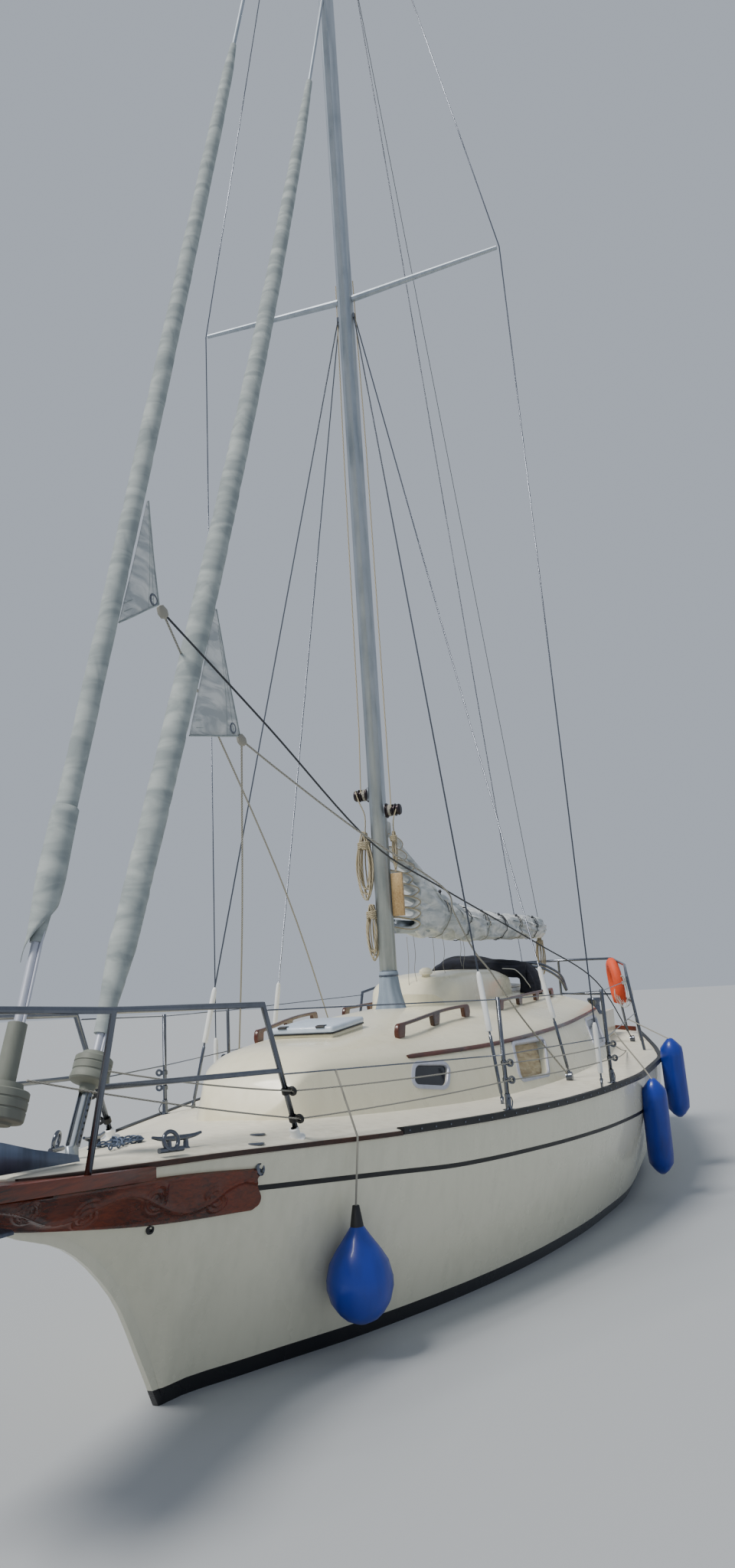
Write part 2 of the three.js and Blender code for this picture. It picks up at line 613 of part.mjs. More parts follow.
function mainsailBody() {
  const rings = SAIL_STACK.map(([r, wide, low, high]) => {
    const half = [[0, high], [wide * 0.6, high - 40], [wide, (low + high) / 2],
      [wide * 0.7, low + 14], [0, low]];
    return [...half.map(([s, z]) => boomPoint(r, -s, z)),
      ...half.map(([s, z]) => boomPoint(r, s, z)).reverse()];
  });
  const bore = rod(boomPoint(0, 0, BOOM.z), boomPoint(BOOM.end + 50, 0, BOOM.z), BOOM.radius + GAP, 12);
  return loft(rings).subtract(solid(bore));
}

// Furling headsails. rows are [share up the stay, radius].
const YANKEE_ROLL = [[0.068, 26], [0.09, 46], [0.3, 49], [0.5, 42], [0.55, 35], [0.575, 20]];
// A drum with the sleeve that turns above it.
const YANKEE_DRUM = [[0.0125, 60], [0.014, 92], [0.0225, 96], [0.0245, 70], [0.0248, 36], [0.0425, 34]];
const STAYSAIL_ROLL = [[0.05, 30], [0.09, 62], [0.3, 66], [0.6, 56], [0.8, 42], [0.87, 26]];
const STAYSAIL_DRUM = [[0.0275, 55], [0.029, 74], [0.0385, 78], [0.041, 60]];
const stayFoil = (stay, radius) =>
  stayBody(stay, SHARES(0, 1, 14).map((share) => [share, radius]), 6);
const FOIL = 13;

// A stay with its foil and the plate at its foot.
function footedStay(stay, seat) {
  const plate = box(stay.foot.x - 30, stay.foot.x + 30, -9, 9, stay.foot.z - 70, stay.foot.z + 14);
  const joined = Manifold.union([stayFoil(stay, FOIL), solid(plate)]);
  return largest(clearOf(joined, [seat, deckSolid, hullShell, mastShape]));
}

function backstay() {
  const plate = box(BACKSTAY.foot.x - 6, BACKSTAY.foot.x + 30, -6, 6, BACKSTAY.foot.z - 60, BACKSTAY.foot.z + 10);
  return largest(clearOf(fuse([rod(BACKSTAY.foot, BACKSTAY.head, WIRE, 6), plate]), [deckSolid, mastShape]));
}
const around = (body, stay) => body.subtract(stayFoil(stay, FOIL + GAP));

// A furled sail, resampled so that it follows the stay's sag.
function stayBodyOf(stay, rows) {
  const steps = SHARES(rows[0][0], rows[rows.length - 1][0], 14);
  const radiusAt = (share) => {
    const k = Math.max(1, rows.findIndex((row) => row[0] >= share - 1e-9));
    const [a, b] = [rows[k - 1], rows[k]];
    return a[1] + ((b[1] - a[1]) * (share - a[0])) / (b[0] - a[0]);
  };
  return stayBody(stay, steps.map((share) => [share, radiusAt(share)]), 10);
}


// Deck fittings

// A rail that caps the deck's edge, from one station to another. inner and outer are its faces
// from the sheer line, inwards and outwards. low and high are measured from the sheer line too.
function toeRail(side, { from, to, inner, outer, low, high }) {
  const stops = [from, ...SHEER.map((row) => row.x).filter((x) => x < from - 60 && x > to + 60), to];
  const rings = stops.map((x) => {
    const [y, z] = [sheerY(x), sheerZ(x)];
    return [[y + outer, z + low], [y + outer, z + high], [y - inner, z + high], [y - inner, z + low]]
      .map(([a, b]) => vec(x, side * a, b));
  });
  return largest(clearOf(loft(rings), [deckSolid, hullShell, platform]));
}
const WOOD_RAIL = { from: 3985, to: 2100, inner: 0, outer: 18, low: -26, high: -5 };
const BLACK_RAIL_SIZE = { from: 2095, to: -4230, inner: 20, outer: 18, low: -24, high: 11 };

function taffrail() {
  const half = SHARES(-1, 1, 6).map((share) => share * (TRANSOM.sheerY - 24));
  const rings = half.map((y) => [[TRANSOM.x + 1, deckZ(TRANSOM.x, y) - 20],
    [TRANSOM.x + 1, deckZ(TRANSOM.x, y) + 44], [TRANSOM.x + 34, deckZ(TRANSOM.x, y) + 44],
    [TRANSOM.x + 34, deckZ(TRANSOM.x, y) - 20]].map(([x, z]) => vec(x, y, z)));
  return cut(loft(rings), [deckSolid.translate([0, 0, GAP])]);
}

// Bow platform with a wooden plank down each side.
const SPRIT = { aft: 3430, fore: 4520, halfY: 300, plank: 34, aftZ: 1008, foreZ: 1133, deep: 48,
  sunk: 8 };
const spritZ = (x) => SPRIT.aftZ + ((SPRIT.foreZ - SPRIT.aftZ) * (x - SPRIT.aft)) / (SPRIT.fore - SPRIT.aft);

function bowPlatform() {
  const { aft, fore, halfY, plank, deep } = SPRIT;
  const side = (from, drop, rise) => [[from, spritZ(from) - deep + rise], [fore, spritZ(fore) - deep + rise],
    [fore, spritZ(fore) - drop], [from, spritZ(from) - drop]];
  const planks = [[halfY - plank, halfY], [-halfY, plank - halfY]]
    .map(([y0, y1]) => sidePlate(side(aft, 0, 0), y0, y1));
  const middle = sidePlate(side(aft + 20, SPRIT.sunk, 4), plank - halfY - 1, halfY - plank + 1);
  return clearOf(fuse([...planks, middle]), [hullShell, deckSolid]);
}

// Carved boards on each side of the bow. Columns: station, lower edge, upper edge.
const TRAILBOARD = [
  [4060, 925, 1010],
  [3940, 895, 1000],
  [3610, 825, 968],
  [3310, 772, 935],
  [3100, 748, 905],
  [2870, 730, 868],
];

// Half breadth of the hull's side at a height, between the deck and the waterline.
function hullY(x, z) {
  const [fore, aft] = [0, 1].map((step) => {
    const k = Math.max(1, HULL.findIndex((row) => row.x <= x)) - 1 + step;
    const row = HULL[k];
    const top = row.sheerZ - DECK_THICK;
    const foot = Math.max(0, row.canoeZ);
    const footY = row.canoeZ > 0 ? row.keelY : row.waterY;
    const share = Math.min(1, Math.max(0, (z - foot) / (top - foot)));
    return { x: row.x, y: footY + (row.sheerY - footY) * (1 - (1 - share) ** row.full) };
  });
  return fore.y + ((aft.y - fore.y) * (fore.x - x)) / (fore.x - aft.x);
}

function trailboard(side) {
  const rings = TRAILBOARD.map(([x, low, high]) => {
    const [yl, yh] = [hullY(x, low), hullY(x, high)];
    return [[yl + 24, low], [yh + 24, high], [Math.max(GAP, yh - 25), high], [Math.max(GAP, yl - 25), low]]
      .map(([y, z]) => vec(x, side * y, z));
  });
  return clearOf(loft(rings), [hullShell, deckSolid]);
}

// Plough anchor: its shank lies over the bow roller, its blades hang under the platform.
const ANCHOR = { y: 100, halfShank: 12, spread: 105 };
const SHANK = [[3640, 1064], [3860, 1081], [4085, 1097], [4300, 1126], [4480, 1166], [4570, 1165], [4600, 1150],
  [4602, 1075], [4640, 1075], [4640, 1165], [4560, 1222], [4300, 1240], [4060, 1200], [3890, 1148], [3650, 1088]];

function anchor() {
  const { y, halfShank, spread } = ANCHOR;
  const shank = sidePlate(SHANK, y - halfShank, y + halfShank);
  const ring = (x, wide, keelZ, wingZ, thick) => [[0, keelZ], [wide, wingZ], [wide, wingZ - thick],
    [0, keelZ - thick]];
  const rows = [[4640, 40, 1084, 1066, 22], [4400, spread, 1040, 985, 20], [4200, spread * 0.8, 975, 940, 16],
    [4000, 12, 912, 906, 10]];
  const rings = rows.map(([x, ...rest]) => {
    const half = ring(x, ...rest);
    return [...half.map(([side, z]) => vec(x, y + side, z)), ...half.map(([side, z]) => vec(x, y - side, z)).reverse()];
  });
  return fuse([shank, loft(rings)]);
}

const ROLLER = { x: 4560, z: 1135.8, radius: 30, halfWidth: 26, cheek: 4 };

function bowRoller() {
  const { x, z, radius, halfWidth, cheek } = ROLLER;
  const cheeks = [-1, 1].map((side) => {
    const y = ANCHOR.y + side * (halfWidth + cheek / 2);
    return sidePlate([[4180, spritZ(4180) - 40], [x + 42, z - 28], [x + 42, z + 50], [x - 30, z + 66],
      [4180, spritZ(4180) + 16]], y - cheek / 2, y + cheek / 2);
  });
  const axle = rod(vec(x, ANCHOR.y - halfWidth - 3, z), vec(x, ANCHOR.y + halfWidth + 3, z), 8);
  const wheel = rod(vec(x, ANCHOR.y - halfWidth + 6, z), vec(x, ANCHOR.y + halfWidth - 6, z), radius - 1, 12);
  return clearOf(fuse([...cheeks, axle, wheel]), [platform]);
}

// Tubular rails
const PULPIT = { radius: 13, aftFoot: [2584, 490, 0], aftTop: vec(2860, 485, 1570),
  foreTop: vec(3745, 345, 1602), shoulder: vec(4330, 250, 1640),
  nose: vec(4480, 120, 1645), midAft: vec(2722, 487, 1280), midFore: vec(3788, 315, 1340) };

function pulpit() {
  const pieces = [];
  for (const [, side] of SIDES) {
    const m = (point) => mirrored(point, side);
    const aftFoot = vec(2575, 490, deckZ(2575, 490) - 20);
    const foreFoot = vec(3833, 283, spritZ(3833) - 20);
    const noseFoot = vec(4440, 200, spritZ(4440) - 25);
    pieces.push(pipe([aftFoot, PULPIT.aftTop, PULPIT.foreTop, PULPIT.shoulder, PULPIT.nose,
      vec(4480, -8, 1645)].map(m), PULPIT.radius));
    pieces.push(rod(m(foreFoot), m(PULPIT.foreTop), PULPIT.radius));
    pieces.push(rod(m(noseFoot), m(PULPIT.shoulder), PULPIT.radius));
    pieces.push(rod(m(PULPIT.midAft), m(PULPIT.midFore), PULPIT.radius * 0.85));
  }
  return largest(clearOf(fuse(pieces), [deckSolid, platform]));
}

// Stanchions with their lifelines, one body a side.
const STANCHIONS = [[1180, 0], [-240, 0]];
const STANCHION = { inset: 45, height: 610, radius: 12.5 };
const PUSHPIT_FORE = { footX: -2560, footY: 1350, top: vec(-2600, 1255, 1485) };

function lifelines(side) {
  const tops = STANCHIONS.map(([x]) => vec(x, sheerY(x) - STANCHION.inset - 12, deckZ(x, sheerY(x)) + STANCHION.height));
  const feet = STANCHIONS.map(([x]) => {
    const y = sheerY(x) - STANCHION.inset;
    return vec(x, y, deckZ(x, y) - 20);
  });
  const pieces = feet.map((foot, i) => rod(foot, tops[i], STANCHION.radius));
  const fore = vec(2818, 485, 1545);
  const foreMid = vec(2697, 492, 1262);
  const aft = PUSHPIT_FORE.top.clone().add(vec(30, 0, -25));
  const aftMid = PUSHPIT_FORE.top.clone().add(vec(32, 50, -300));
  const upper = [fore, ...tops.map((top) => top.clone().add(vec(0, 0, -12))), aft];
  const lower = [foreMid, ...tops.map((top, i) => top.clone().lerp(feet[i], 0.5)), aftMid];
  for (const line of [upper, lower]) {
    for (let i = 1; i < line.length; i += 1) {
      pieces.push(rod(line[i - 1], line[i], 3.5, 6));
    }
  }
  return onSide(largest(clearOf(fuse(pieces), [deckSolid])), side);
}

// Stern rail, in two halves that meet at the centreline: legs on the deck, a top and a middle rail.
const PUSHPIT = { radius: 13, rows: [
  [-2560, 1350, -2600, 1255, 1485],
  [-3420, 1215, -3400, 1130, 1590],
  [-4180, 985, -4120, 900, 1655],
  [-4235, 330, -4235, 330, 1668],
] };

function pushpit(side) {
  const legs = PUSHPIT.rows.map(([x, y, topX, topY, topZ]) => ({
    foot: vec(x, y, deckZ(x, y) - 20), top: vec(topX, topY, topZ) }));
  const tops = legs.map(({ top }) => top);
  const mids = legs.map(({ foot, top }) => foot.clone().lerp(top, 0.52));
  const pieces = [
    pipe([legs[0].foot, ...tops, vec(-4235, GAP / 2, tops[3].z)], PUSHPIT.radius),
    pipe(mids, PUSHPIT.radius * 0.85),
    ...legs.slice(1).map(({ foot, top }) => rod(foot, top, PUSHPIT.radius * 0.98)),
  ];
  return onSide(largest(clearOf(fuse(pieces), [deckSolid])), side);
}

// Grab rails on the coachroof. Columns: fore end x and y, aft end x and y, number of feet.
const GRAB_RAILS = { fore: [1150, 455, 20, 560, 3, 60], aft: [-590, 610, -2330, 640, 4, 52] };
const GRAB = { wide: 26, high: 20, foot: 95 };

function grabRail([x0, y0, x1, y1, feet, rise], side) {
  const bar = SHARES(0, 1, 5).map((share) => {
    const [x, y] = [x0 + (x1 - x0) * share, y0 + (y1 - y0) * share];
    const z = roofZ(x, y) + rise;
    return [[y - GRAB.wide / 2, z], [y - GRAB.wide / 2, z + GRAB.high], [y + GRAB.wide / 2, z + GRAB.high],
      [y + GRAB.wide / 2, z]].map(([a, b]) => vec(x, a, b));
  });
  const posts = SHARES(0, 1, feet - 1).map((share) => {
    const x = x0 + (x1 - x0) * share - Math.sign(share - 0.5) * (GRAB.foot / 2) * Math.sign(x1 - x0);
    const y = y0 + (y1 - y0) * share;
    const z = roofZ(x, y);
    return solid(box(x - GRAB.foot / 2, x + GRAB.foot / 2, y - GRAB.wide / 2 + 1, y + GRAB.wide / 2 - 1,
      z - 25, z + rise + 8));
  });
  const joined = Manifold.union([loft(bar), ...posts]);
  return onSide(joined.subtract(cabinShape.translate([0, 0, GAP])), side);
}

// Raised hood that the companionway hatch slides into.
const SEA_HOOD = [
  [-375, 270, 1500],
  [-560, 335, 1618],
  [-1100, 352, 1652],
  [-1700, 356, 1648],
  [-2010, 352, 1612],
].map(([x, halfY, topZ]) => ({ x, halfY, topZ }));
const HOOD_WALL = 25;

function hoodRing({ x, halfY, topZ }, inset) {
  const half = [[0, topZ - inset], [(halfY - inset) * 0.75, topZ - 12 - inset], [halfY - inset, topZ - 55 - inset],
    [halfY + 14 - inset, 1300], [0, 1300]];
  return [...half.map(([y, z]) => vec(x, y, z)), ...half.map(([y, z]) => vec(x, -y, z)).reverse()];
}

function seaHood() {
  const outer = loft(SEA_HOOD.map((row) => hoodRing(row, 0)));
  const hollow = [{ x: -1300, halfY: 353, topZ: 1650 }, ...SEA_HOOD.slice(3, 4), { x: -2012, halfY: 352, topZ: 1612 }];
  const inner = loft(hollow.map((row) => hoodRing(row, HOOD_WALL)));
  return cut(outer, [inner, cabinShape.translate([0, 0, GAP])]);
}

// Runners on the coachroof that carry the sliding hatch.
const RUNNER = { fore: -1330, aft: -2540, inY: 292, outY: 318, topZ: 1462 };
const runners = () => [-1, 1].map((side) => {
  const [y0, y1] = side > 0 ? [RUNNER.inY, RUNNER.outY] : [-RUNNER.outY, -RUNNER.inY];
  return solid(box(RUNNER.aft, RUNNER.fore, y0, y1, 1395, RUNNER.topZ));
});

function slidingHatch() {
  const { lidFore, lidAft } = COMPANION;
  const z = RUNNER.topZ + GAP;
  const half = [[0, z + 44], [200, z + 40], [RUNNER.outY + 2, z + 22], [RUNNER.outY + 2, z], [0, z]];
  return loft([lidFore, lidAft].map((x) => [...half.map(([y, h]) => vec(x, y, h)),
    ...half.map(([y, h]) => vec(x, -y, h)).reverse()]));
}

const washboards = () => box(-2545, -2525, -COMPANION.halfY + 40 + GAP, COMPANION.halfY - 40 - GAP, 990 + GAP, 1452);

// Fore hatch: a frame on the coachroof and a lid hinged along its fore edge.
function hatchZ(x) {
  const { aft, fore, aftZ, foreZ } = FORE_HATCH;
  return aftZ + ((foreZ - aftZ) * (x - aft)) / (fore - aft);
}

function hatchFrame() {
  const { aft, fore, halfY } = FORE_HATCH;
  const outline = [[aft + 8, 1250], [fore - 8, 1250], [fore - 8, hatchZ(fore - 8)], [aft + 8, hatchZ(aft + 8)]];
  const whole = solid(sidePlate(outline, -halfY + 8, halfY - 8));
  const hole = solid(box(aft + 62, fore - 62, -halfY + 62, halfY - 62, 1200, 1600));
  return cut(whole, [hole, cabinShape.translate([0, 0, GAP])]);
}

function hatchLid() {
  const { aft, fore, halfY, lidThick } = FORE_HATCH;
  const low = (x) => hatchZ(x) + GAP;
  return solid(sidePlate([[aft, low(aft)], [fore, low(fore)], [fore, low(fore) + lidThick],
    [aft, low(aft) + lidThick]], -halfY, halfY));
}

// Cockpit: locker lids, steering pedestal and wheel
const LID_PLAY = 5;
const lockerLid = (side) => {
  const [y0, y1] = [LOCKER.inY + LID_PLAY, LOCKER.outY - 1];
  return box(LOCKER.aft + LID_PLAY, LOCKER.fore - LID_PLAY, side > 0 ? y0 : -y1, side > 0 ? y1 : -y0,
    COCKPIT.seatZ - LOCKER.thick + GAP, COCKPIT.seatZ);
};
const WHEEL = { x: -3330, z: 1330, radius: 300, rim: 12, hub: 34 };
const PEDESTAL = { x: -3200, top: 1500 };

function pedestal() {
  const base = vec(PEDESTAL.x, 0, COCKPIT.soleZ + GAP);
  const column = turned(base, vec(PEDESTAL.x, 0, PEDESTAL.top),
    [[0, 120], [0.03, 120], [0.06, 75], [0.75, 62], [0.8, 95], [0.93, 95], [1, 40]], 16);
  const shaft = rod(vec(PEDESTAL.x, 0, WHEEL.z), vec(WHEEL.x + WHEEL.hub - 8 + GAP, 0, WHEEL.z), 18, 12);
  return fuse([column, shaft]);
}

function wheel() {
  const centre = vec(WHEEL.x, 0, WHEEL.z);
  const rim = new THREE.TorusGeometry(WHEEL.radius, WHEEL.rim, 8, 28).rotateY(Math.PI / 2)
    .translate(centre.x, 0, centre.z);
  const spokes = Array.from({ length: 5 }, (_, i) => {
    const turn = (i / 5) * Math.PI * 2;
    return rod(centre, vec(WHEEL.x, WHEEL.radius * Math.sin(turn), WHEEL.z + WHEEL.radius * Math.cos(turn)), 8, 6);
  });
  const hub = rod(vec(WHEEL.x - 22, 0, WHEEL.z), vec(WHEEL.x + WHEEL.hub - 8, 0, WHEEL.z), WHEEL.hub, 12);
  return fuse([rim, hub, ...spokes]);
}

function rudder() {
  const rings = RUDDER_SECTIONS.map(([z, chord, thick]) => {
    const { x } = onRudderAxis(z);
    const half = [[x + thick, 0], [x + thick * 0.5, thick], [x - chord * 0.4, thick * 0.9],
      [x - chord, 5], [x - chord, 0]];
    return [...half.map(([a, y]) => vec(a, y, z)), ...half.map(([a, y]) => vec(a, -y, z)).reverse()];
  });
  const stock = rod(onRudderAxis(-200), onRudderAxis(RUDDER.stockHighZ), 22, 12);
  const pin = rod(onRudderAxis(RUDDER.pinLowZ), onRudderAxis(-1035), 16, 12);
  return fuse([loft(rings), stock, pin]);
}

// Three-blade propeller in an aperture at the keel's aft edge.
const PROP = { x: -3008, z: -560, radius: 195, hub: 34, hubLength: 90, shaft: 15 };

function propeller() {
  const hub = turned(vec(PROP.x - PROP.hubLength / 2, 0, PROP.z), vec(PROP.x + PROP.hubLength / 2, 0, PROP.z),
    [[0, 12], [0.25, 26], [1, PROP.hub]], 12);
  const blades = [0, 1, 2].map((k) => {
    const blade = new THREE.Shape();
    blade.absellipse(PROP.radius * 0.56, 0, PROP.radius * 0.44, 60, 0, Math.PI * 2);
    const plate = new THREE.ExtrudeGeometry(blade, { depth: 8, bevelEnabled: false, curveSegments: 6 });
    return plate.translate(0, 0, -4).rotateX(0.45).rotateY(Math.PI / 2)
      .rotateX((k * 2 * Math.PI) / 3).translate(PROP.x, 0, PROP.z);
  });
  const shaft = rod(vec(PROP.x, 0, PROP.z), vec(APERTURE.fore - GAP, 0, PROP.z), PROP.shaft, 12);
  return fuse([hub, shaft, ...blades]);
}

// Winches: a drum on a base
function winch(centre, size) {
  return turned(centre, centre.clone().add(vec(0, 0, size)),
    [[0, size * 0.52], [0.15, size * 0.5], [0.25, size * 0.34], [0.7, size * 0.33], [0.85, size * 0.45], [1, size * 0.4]], 12);
}

// A winch on the mast's side, on a plate.
function mastWinch(side, z) {
  const start = vec(0, side * (MAST.radiusY + 4), z);
  const end = vec(0, side * (MAST.radiusY + 112), z);
  const drum = turned(start, end, [[0, 46], [0.15, 46], [0.3, 34], [0.75, 33], [0.9, 42], [1, 36]], 12);
  const [y0, y1] = side > 0 ? [30, MAST.radiusY + 8] : [-MAST.radiusY - 8, -30];
  return [drum, box(-36, 36, y0, y1, z - 46, z + 46)];
}

// Fenders hung on the port side. Each has a lanyard that runs over the rail to the lower lifeline.
const LANYARD = 5;
const BALL_FENDER = { x: 2375, y: 660, lowZ: 152, topZ: 648, radius: 151,
  lanyard: [vec(2375, 660, 640), vec(2388, 694, 945), vec(2400, 607.6, 1246.5)] };
const LONG_FENDERS = [
  { name: 'fender_port_1', top: vec(-800, 1613.7, 820), low: vec(-960, 1598.7, 160), radius: 90,
    lanyard: [vec(-802, 1613.5, 812), vec(-800, 1556, 905), vec(-800, 1369.6, 1164.7)] },
  { name: 'fender_port_2', top: vec(-1850, 1644.8, 1010), low: vec(-1960, 1649.8, 400), radius: 90,
    lanyard: [vec(-1851, 1644.9, 1003), vec(-1850, 1331.2, 1176.7)] },
];

// A fender with its lanyard, which stops at the lifeline.
function hung(fender, lanyard) {
  return largest(clearOf(fuse([fender, pipe(lanyard, LANYARD, 6)]), [lifelines(1)]));
}

function ballFender() {
  const { x, y, lowZ, topZ, radius, lanyard } = BALL_FENDER;
  return hung(turned(vec(x, y, lowZ), vec(x, y, topZ), [[0, 25], [0.04, 72], [0.1, 106], [0.18, 134],
    [0.3, radius], [0.38, radius], [0.52, 134], [0.62, 103], [0.73, 62], [0.82, 31], [1, 16]], 14), lanyard);
}

const longFender = ({ top, low, radius, lanyard }) => hung(turned(low, top, [[0, 20], [0.04, radius * 0.55],
  [0.12, radius * 0.95], [0.2, radius], [0.8, radius], [0.88, radius * 0.95], [0.95, radius * 0.55],
  [1, 20]], 12), lanyard);

// Horseshoe lifebuoy that hangs against the port quarter of the stern rail, leaning as its legs do.
const LIFEBUOY = { centre: vec(-3754.2, 980.2, 1409.7), turnDeg: 17.5, leanDeg: 7.3, radius: 190, tube: 48,
  gapDeg: 70 };

function lifebuoy() {
  const { centre, turnDeg, leanDeg, radius, tube, gapDeg } = LIFEBUOY;
  const points = SHARES(gapDeg / 2, 360 - gapDeg / 2, 10).map((deg) => {
    const turn = THREE.MathUtils.degToRad(deg);
    return vec(radius * 0.9 * Math.sin(turn), 0, -radius * 1.1 * Math.cos(turn));
  });
  return pipe(points, tube, 8).rotate([leanDeg, 0, turnDeg]).translate([centre.x, centre.y, centre.z]);
}

// Sprayhood folded down over the hatch, an arch of canvas.
const SPRAYHOOD = { fore: -2150, aft: -2500, halfY: 505, topZ: 1755, wall: 110 };

function sprayhood() {
  const { fore, aft, halfY, topZ, wall } = SPRAYHOOD;
  const arch = (grow) => {
    const [y, z] = [halfY - grow, topZ - grow];
    return [[0, z], [y * 0.6, z - 40], [y * 0.92, z - 75], [y, z - 130], [y - 5, 1300], [0, 1300]];
  };
  const ring = (x, grow) => [...arch(grow).map(([y, z]) => vec(x, y, z)),
    ...arch(grow).map(([y, z]) => vec(x, -y, z)).reverse()];
  const outer = loft([ring(fore, 30), ring(fore - 70, 0), ring(aft + 90, 5), ring(aft, 45)]);
  const inner = loft([ring(fore + 5, wall), ring(aft - 5, wall)]);
  return cut(outer, [inner, cabinShape.translate([0, 0, GAP])]);
}

// Parts, in order. Each joint's body is named in the record.

const hullSolid = hullBody();
const mastShape = mastBody();
const platform = bowPlatform();
add('hull', hullSolid, GELCOAT);
add('deck', deckSolid, DECK_PAINT);
add('cabin_trunk', cabinTrunk(), GELCOAT);
add('cockpit_tub', cockpitTub(), GELCOAT);
add('sea_hood', seaHood(), GELCOAT);
add('sliding_hatch', slidingHatch(), GELCOAT);
add('washboards', washboards(), TEAK);
add('fore_hatch_frame', hatchFrame(), GELCOAT);
add('fore_hatch_lid', hatchLid(), LID_GREY);
for (const [word, side] of SIDES) {
  add(`locker_lid_${word}`, lockerLid(side), GELCOAT);
  add(`toe_rail_wood_${word}`, toeRail(side, WOOD_RAIL), TEAK);
  add(`toe_rail_black_${word}`, toeRail(side, BLACK_RAIL_SIZE), BLACK_RAIL);
  add(`trailboard_${word}`, trailboard(side), TEAK);
  add(`lifelines_${word}`, lifelines(side), STAINLESS);
  add(`pushpit_${word}`, pushpit(side), STAINLESS);
  add(`grab_rail_fore_${word}`, grabRail(GRAB_RAILS.fore, side), TEAK);
  add(`grab_rail_aft_${word}`, grabRail(GRAB_RAILS.aft, side), TEAK);
  add(`spreader_${word}`, spreader(side), ANODISED);
  add(`cap_shroud_${word}`, capShroud(side), STAINLESS);
  add(`lower_shrouds_${word}`, lowerShrouds(side), STAINLESS);
  add(`cockpit_winch_${word}`, winch(vec(-3050, side * 872, COCKPIT.coamZ + GAP), 150), STAINLESS);
}
add('taffrail', taffrail(), TEAK);
add('bow_platform', platform, TEAK);
add('bow_roller', bowRoller(), STAINLESS);
add('anchor', anchor(), GALVANISED);
add('pulpit', pulpit(), STAINLESS);
add('mast', mastShape, ANODISED);
add('mast_boot', mastBoot(), BOOT_GREY);
add('boom', boomBody(), ANODISED);
add('mainsail_flaked', mainsailBody(), SAILCLOTH);
add('outer_stay', footedStay(OUTER_STAY, platform), ANODISED);
add('yankee_roll', around(stayBodyOf(OUTER_STAY, YANKEE_ROLL), OUTER_STAY), SAILCLOTH);
add('yankee_drum', around(stayBody(OUTER_STAY, YANKEE_DRUM, 12), OUTER_STAY), DRUM_GREY);
add('inner_stay', footedStay(INNER_STAY, deckSolid), ANODISED);
add('staysail_roll', around(stayBodyOf(INNER_STAY, STAYSAIL_ROLL), INNER_STAY), SAILCLOTH);
add('staysail_drum', around(stayBody(INNER_STAY, STAYSAIL_DRUM, 12), INNER_STAY), DRUM_GREY);
add('backstay', backstay(), STAINLESS);
add('sprayhood_folded', sprayhood(), CANVAS_NAVY);
add('steering_pedestal', pedestal(), GELCOAT);
add('steering_wheel', wheel(), STAINLESS);
add('rudder', rudder(), ANTIFOUL);
add('propeller', propeller(), BRONZE);
add('ball_fender', ballFender(), FENDER_BLUE);
for (const fender of LONG_FENDERS) add(fender.name, longFender(fender), FENDER_BLUE);
add('lifebuoy', lifebuoy(), LIFE_ORANGE);

export default yacht;
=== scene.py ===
# %% [markdown]
# # Sailing yacht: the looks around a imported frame
#
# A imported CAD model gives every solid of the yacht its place. This notebook loads that frame and
# dresses it: smooth skins where the solids have flat facets, and finishes for every surface.
# Each solid belongs to a body, such as the boom or the rudder, and each new piece rides on one.

import json
import math
from bisect import bisect_right

